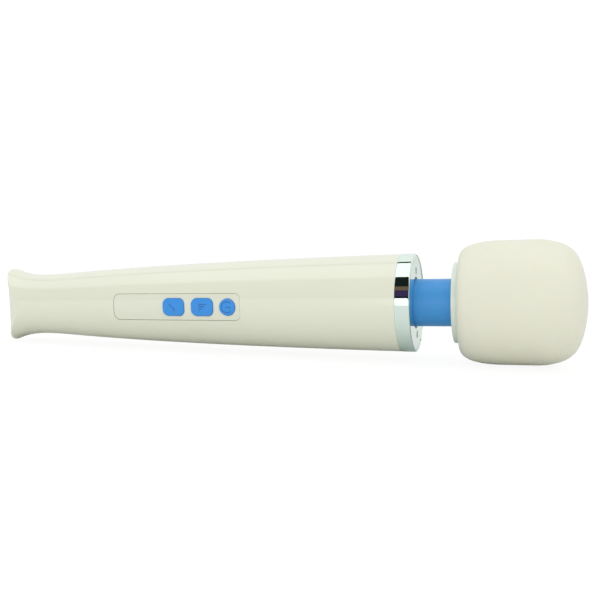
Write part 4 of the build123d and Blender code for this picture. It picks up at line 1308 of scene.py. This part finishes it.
@dataclass
class Neck:
    """The flexible neck in two halves, with the collar that holds it to the head."""

    radius: float = 12.0
    wall: float = 2.6
    rear_flange: float = 14.5
    front_flange: float = 16.5
    flange_thickness: float = 2.5
    bend_margin: float = 0.45
    collar_radius: float = 20.3
    collar_edge: float = 0.55
    screw_circle: float = 14.4
    screw_radius: float = 1.8

    def build(self, work: Workshop) -> None:
        """Build both halves of the neck, the collar and its screws."""
        inner = self.radius - self.wall
        whole_low, whole_high = work.wand.span("flex_neck")
        start, end, thick = whole_low.x, whole_high.x, self.flange_thickness
        bush_low, bush_high = work.wand.span("guide_bush")
        middle = (bush_low.x + bush_high.x) / 2
        plate, collar = work.wand.span("end_plate")[1].x, work.wand.span("head_collar")[0].x
        bend_low = (plate + self.bend_margin, middle - self.bend_margin)
        bend_high = (middle + self.bend_margin, collar - self.bend_margin)
        low_outline = [(start, inner), (start, self.rear_flange), (start + thick, self.rear_flange),
                       (start + thick, self.radius), (middle, self.radius), (middle, inner)]
        low = work.shop.lathe("neck_sleeve_low", dense(low_outline, 0.5), 128)
        high_outline = [(middle, inner), (middle, self.radius), (end - thick, self.radius),
                        (end - thick, self.front_flange), (end, self.front_flange), (end, inner)]
        high = work.shop.lathe("neck_sleeve_high", dense(high_outline, 0.5), 128)
        for piece, bodies, bend in ((low, (Body.HANDLE, Body.NECK_MIDDLE), bend_low),
                                    (high, (Body.NECK_MIDDLE, Body.HEAD), bend_high)):
            work.shop.smooth(piece, 40)
            work.dress(piece, "neck_blue")
            tuple(work.wand.point(bend[0]))
            tuple(work.wand.point(bend[1]))
            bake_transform(piece)
            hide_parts("flex_neck")
            LOG.info("%s bends from %s to %s", piece.name, bodies[0].value, bodies[1].value)
        self.collar(work)

    def collar(self, work: Workshop) -> None:
        """Build the pale disc and its screws."""
        hole = self.radius + 0.15
        low, high = work.wand.span("head_collar")
        outline = [(low.x, hole, 0.3), (low.x, self.collar_radius, self.collar_edge),
                   (high.x, self.collar_radius, 0.35), (high.x, hole, 0)]
        disc = work.shop.lathe("collar_disc", dense(rounded(outline, 8), 1.2), 224)
        wells = []
        for k in range(3):
            angle = math.pi / 2 + 2 * math.pi * k / 3
            y, z = self.screw_circle * math.cos(angle), self.screw_circle * math.sin(angle)
            reach = self.screw_radius + 0.12
            well = [(low.x - 1, 0), (low.x - 1, reach), (low.x + 0.8, reach), (low.x + 0.8, 0)]
            wells.append(work.shop.lathe("well", well, 32, y, z))
        work.shop.cut(disc, wells)
        work.shop.smooth(disc, 30)
        work.put(disc, Body.HEAD, "collar_mint", "head_collar")
        screw = screw_on_axis(work, -0.8, self.screw_radius, 0.9, 5.0)
        mirror = Matrix.Rotation(math.pi, 4, "Z")
        screw.data.transform(Matrix.Translation((low.x, 0, 0)) @ mirror)
        group = work.growers.ring("collar_screw_set", screw, 3, self.screw_circle, math.pi / 2,
                                  work.paint["screw_steel"])
        work.shop.smooth(group, 35)
        work.put(group, Body.HEAD, "screw_steel", "collar_screws")


@dataclass
class Head:
    """The soft cover of the vibrating head."""

    radius: float = 30.6
    face_radius: float = 22.6
    shoulder: float = 20.7
    rise: float = 0.25
    barrel: float = 11.0
    wall: float = 3.0
    mouth: float = 18.5

    def outline(self, face: float, end: float) -> list[Point2]:
        """Return the cover's outer outline, from its rear face to its tip.

        Args:
            face: x of the rear face.
            end: x of the tip.

        Returns:
            The outline's (x, radius) points.
        """
        climb = self.radius - self.face_radius
        full = face + self.shoulder
        shoulder = bezier((face, self.face_radius), (face, self.face_radius + self.rise * climb),
                          (face, self.radius), (full, self.radius), 56)
        start = full + self.barrel
        nose = end - start
        bends = ((0.0, 1.0), (0.43, 0.971), (0.66, 0.892), (0.8, 0.78), (0.893, 0.61), (0.955, 0.4),
                 (1.0, 0.0))
        dome = [(start + a * nose, b * self.radius) for a, b in bends]
        return shoulder + curve_through(dome, (1, 0), (0, -1), 20)

    def build(self, work: Workshop) -> None:
        """Build the cover as a closed shell with its mouth towards the neck."""
        low, high = work.wand.span("head_cover")
        face, end = low.x, high.x
        outer = self.outline(face, end)
        inner = [p for p in inset_line(outer, self.wall)
                 if min(math.dist(p, q) for q in outer) > self.wall * 0.99 and p[0] > face + self.wall * 0.99]
        mouth = [(face + self.wall, self.mouth), (face + 0.3, self.mouth), (face, self.mouth + 0.3)]
        tip = [(end - self.wall, 0.0)]
        profile = mouth + outer + tip + [p for p in inner[::-1] if p[1] > 0.01]
        cover = work.shop.lathe("head_cushion", profile, 288)
        work.shop.smooth(cover, 35)
        work.put(cover, Body.HEAD, "head_silicone", "head_cover")


@dataclass
class TailPort:
    """The rim round the charging socket."""

    start: float = 0.2
    depth: float = 3.0
    outer: float = 5.98
    bore: float = 4.0
    edge: float = 0.4

    def build(self, work: Workshop) -> None:
        """Build the rim."""
        outline = [(self.start, self.bore, self.edge), (self.start, self.outer, 0.25),
                   (self.start + self.depth, self.outer, 0), (self.start + self.depth, self.bore, 0)]
        rim = work.shop.lathe("socket_rim", rounded(outline, 6), 96)
        work.shop.smooth(rim, 35)
        work.put(rim, Body.HANDLE, "port_black", "jack_bezel")


@dataclass
class Works:
    """The pieces inside, which keep their CAD shape and get their finishes."""

    def dress(self, work: Workshop, frame: dict) -> None:
        """Give every CAD node the finish of its own slot."""
        slots = {part["node"]: part["material_slot"] for part in frame["record"]["subparts"]}
        for name, piece in frame["nodes"].items():
            finish = work.paint.get(slots.get(name, "core_plastic"), work.paint["core_plastic"])
            for k in range(len(piece.material_slots)):
                piece.material_slots[k].material = finish
            LOG.info("%s finished as %s", name, finish.name)


# ------------------------------------------------------------------ studio
@dataclass(frozen=True)
class Lamp:
    """A soft rectangular light: its place, its two sides, its power and what it points at."""

    name: str
    spot: Point3
    size: Point2
    power: float
    aim: Point3


@dataclass
class Studio:
    """The floor, the lights, the dark cards that the chrome shows, and the camera."""

    wand: WandFrame
    aim_x: float = 180.8
    camera_off: tuple[float, float] = (0.1203, -0.3815)
    camera_height: float = 0.0660
    azimuth: float = 17.5
    pitch: float = 5.3
    lens: float = 45.12
    floor_size: float = 6.0
    card_reach: float = 0.9
    cards: tuple[tuple[float, float, Colour], ...] = (
        (42.0, 66.0, (0.010, 0.014, 0.014)), (33.0, 42.0, (0.16, 0.10, 0.07)),
        (19.0, 33.0, (0.045, 0.025, 0.085)), (14.5, 19.0, (0.012, 0.010, 0.02)),
        (109.0, 114.5, (0.05, 0.055, 0.052)))
    lamps: tuple[Lamp, ...] = (Lamp("overhead", (0.0, -0.05, 1.15), (1.6, 1.1), 1.2, (0.0, 0.0, 0.0)),
                               Lamp("front_fill", (0.3, -1.5, 0.42), (1.4, 1.0), 3.0, (0.0, 0.0, 0.03)))
    surround: tuple[float, float] = (0.84, 1.0)
    backdrop: float = 1.05
    paper: Colour = (0.80, 0.80, 0.79)
    paper_glow: float = 1.06
    glow_share: float = 0.86

    def build(self) -> None:
        """Set up everything round the object."""
        self.world()
        self.floor()
        self.lights()
        for number, (low, high, colour) in enumerate(self.cards):
            self.card(f"card_{number}", low, high, colour)
        self.camera()
        bpy.context.scene.view_settings.view_transform = "Standard"

    def world(self) -> None:
        """Make an even pale surround that is brighter above."""
        world = bpy.data.worlds.new("pale_surround")
        world.use_nodes = True
        nodes, links = world.node_tree.nodes, world.node_tree.links
        ground = nodes["Background"]
        place = nodes.new("ShaderNodeTexCoord")
        split = nodes.new("ShaderNodeSeparateXYZ")
        links.new(place.outputs["Generated"], split.inputs[0])
        ramp = nodes.new("ShaderNodeMapRange")
        low, high = self.surround
        for name, value in (("From Min", -0.1), ("From Max", 1.0), ("To Min", low), ("To Max", high)):
            ramp.inputs[name].default_value = value
        links.new(split.outputs["Z"], ramp.inputs["Value"])
        path = nodes.new("ShaderNodeLightPath")
        pick = nodes.new("ShaderNodeMix")
        pick.data_type = "FLOAT"
        links.new(path.outputs["Is Camera Ray"], pick.inputs["Factor"])
        links.new(ramp.outputs["Result"], pick.inputs["A"])
        pick.inputs["B"].default_value = self.backdrop
        links.new(pick.outputs["Result"], ground.inputs["Strength"])
        ground.inputs["Color"].default_value = (1, 1, 1, 1)
        bpy.context.scene.world = world

    def floor(self) -> None:
        """Make the pale floor, with a faint shadow where the wand touches it."""
        half = self.floor_size / 2
        mesh = bpy.data.meshes.new("floor")
        corners = [(-half, -half, 0), (half, -half, 0), (half, half, 0), (-half, half, 0)]
        mesh.from_pydata(corners, [], [(0, 1, 2, 3)])
        floor = bpy.data.objects.new("floor", mesh)
        bpy.context.scene.collection.objects.link(floor)
        floor.location.z = -0.0003
        paint = bpy.data.materials.new("floor_paper")
        paint.use_nodes = True
        nodes, links = paint.node_tree.nodes, paint.node_tree.links
        shader = nodes["Principled BSDF"]
        shader.inputs["Base Color"].default_value = (*self.paper, 1)
        shader.inputs["Roughness"].default_value = 0.9
        shader.inputs["Specular IOR Level"].default_value = 0.0
        glow = nodes.new("ShaderNodeEmission")
        glow.inputs["Color"].default_value = (1, 1, 1, 1)
        glow.inputs["Strength"].default_value = self.paper_glow
        path = nodes.new("ShaderNodeLightPath")
        share = nodes.new("ShaderNodeMath")
        share.operation = "MULTIPLY"
        share.inputs[1].default_value = self.glow_share
        links.new(path.outputs["Is Camera Ray"], share.inputs[0])
        mix = nodes.new("ShaderNodeMixShader")
        links.new(share.outputs[0], mix.inputs["Fac"])
        links.new(shader.outputs[0], mix.inputs[1])
        links.new(glow.outputs[0], mix.inputs[2])
        links.new(mix.outputs[0], nodes["Material Output"].inputs["Surface"])
        mesh.materials.append(paint)

    def lights(self) -> None:
        """Hang one large soft light overhead and a weaker one behind the camera."""
        for kind in self.lamps:
            data = bpy.data.lights.new(kind.name, "AREA")
            data.shape = "RECTANGLE"
            data.size, data.size_y = kind.size
            data.energy = kind.power
            lamp = bpy.data.objects.new(kind.name, data)
            lamp.location = kind.spot
            way = Vector(kind.aim) - Vector(kind.spot)
            lamp.rotation_euler = way.to_track_quat("-Z", "Y").to_euler()
            bpy.context.scene.collection.objects.link(lamp)

    def card(self, name: str, low: float, high: float, colour: Colour) -> None:
        """Bend a long card round the wand's axis, seen only as a reflection.

        Args:
            name: the card's name.
            low: the angle of its lower edge, up from the camera's side.
            high: the angle of its upper edge.
            colour: what it shows.
        """
        steps = 12
        points = []
        for k in range(steps + 1):
            angle = math.radians(low + (high - low) * k / steps)
            y, z = -self.card_reach * math.cos(angle), 0.03 + self.card_reach * math.sin(angle)
            points += [(-2.0, y, z), (2.0, y, z)]
        faces = [(2 * k, 2 * k + 1, 2 * k + 3, 2 * k + 2) for k in range(steps)]
        mesh = bpy.data.meshes.new(name)
        mesh.from_pydata(points, [], faces)
        card = bpy.data.objects.new(name, mesh)
        bpy.context.scene.collection.objects.link(card)
        paint = bpy.data.materials.new(name)
        paint.use_nodes = True
        nodes, links = paint.node_tree.nodes, paint.node_tree.links
        glow = nodes.new("ShaderNodeEmission")
        glow.inputs["Color"].default_value = (*colour, 1)
        links.new(glow.outputs[0], nodes["Material Output"].inputs["Surface"])
        mesh.materials.append(paint)
        card.visible_camera = False
        card.visible_diffuse = False
        card.visible_shadow = False
        card.visible_transmission = False

    def camera(self) -> None:
        """Place the camera a little above the wand, towards its head."""
        data = bpy.data.cameras.new("camera")
        data.lens = self.lens
        data.sensor_width = 36.0
        camera = bpy.data.objects.new("camera", data)
        bpy.context.scene.collection.objects.link(camera)
        aim = self.wand.point(self.aim_x)
        camera.location = (aim.x + self.camera_off[0], self.camera_off[1], self.camera_height)
        turn, tilt = math.radians(self.azimuth), math.radians(self.pitch)
        way = Vector((-math.sin(turn) * math.cos(tilt), math.cos(turn) * math.cos(tilt), -math.sin(tilt)))
        camera.rotation_euler = way.to_track_quat("-Z", "Y").to_euler()
        bpy.context.scene.camera = camera


def main() -> None:
    """Build the whole model round the frame."""
    logging.basicConfig(level=logging.INFO, format="%(name)s: %(message)s")
    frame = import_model()
    wand = WandFrame(frame)
    low, _ = wand.span("chrome_ring")
    form = HandleForm(low.x)
    shop = MeshShop(wand)
    paint = {name: finish.build(kit) for kit in [FinishShop()] for name, finish in FINISHES.items()}
    work = Workshop(wand, form, shop, PadShop(shop, form), Growers(shop), paint)
    Works().dress(work, frame)
    keypad = Keypad()
    keypad.measure(wand)
    Casing(keypad).build(work)
    keypad.build(work)
    RingGroup().build(work)
    Neck().build(work)
    Head().build(work)
    TailPort().build(work)
    Studio(wand).build()


if __name__ == "__main__":
    main()
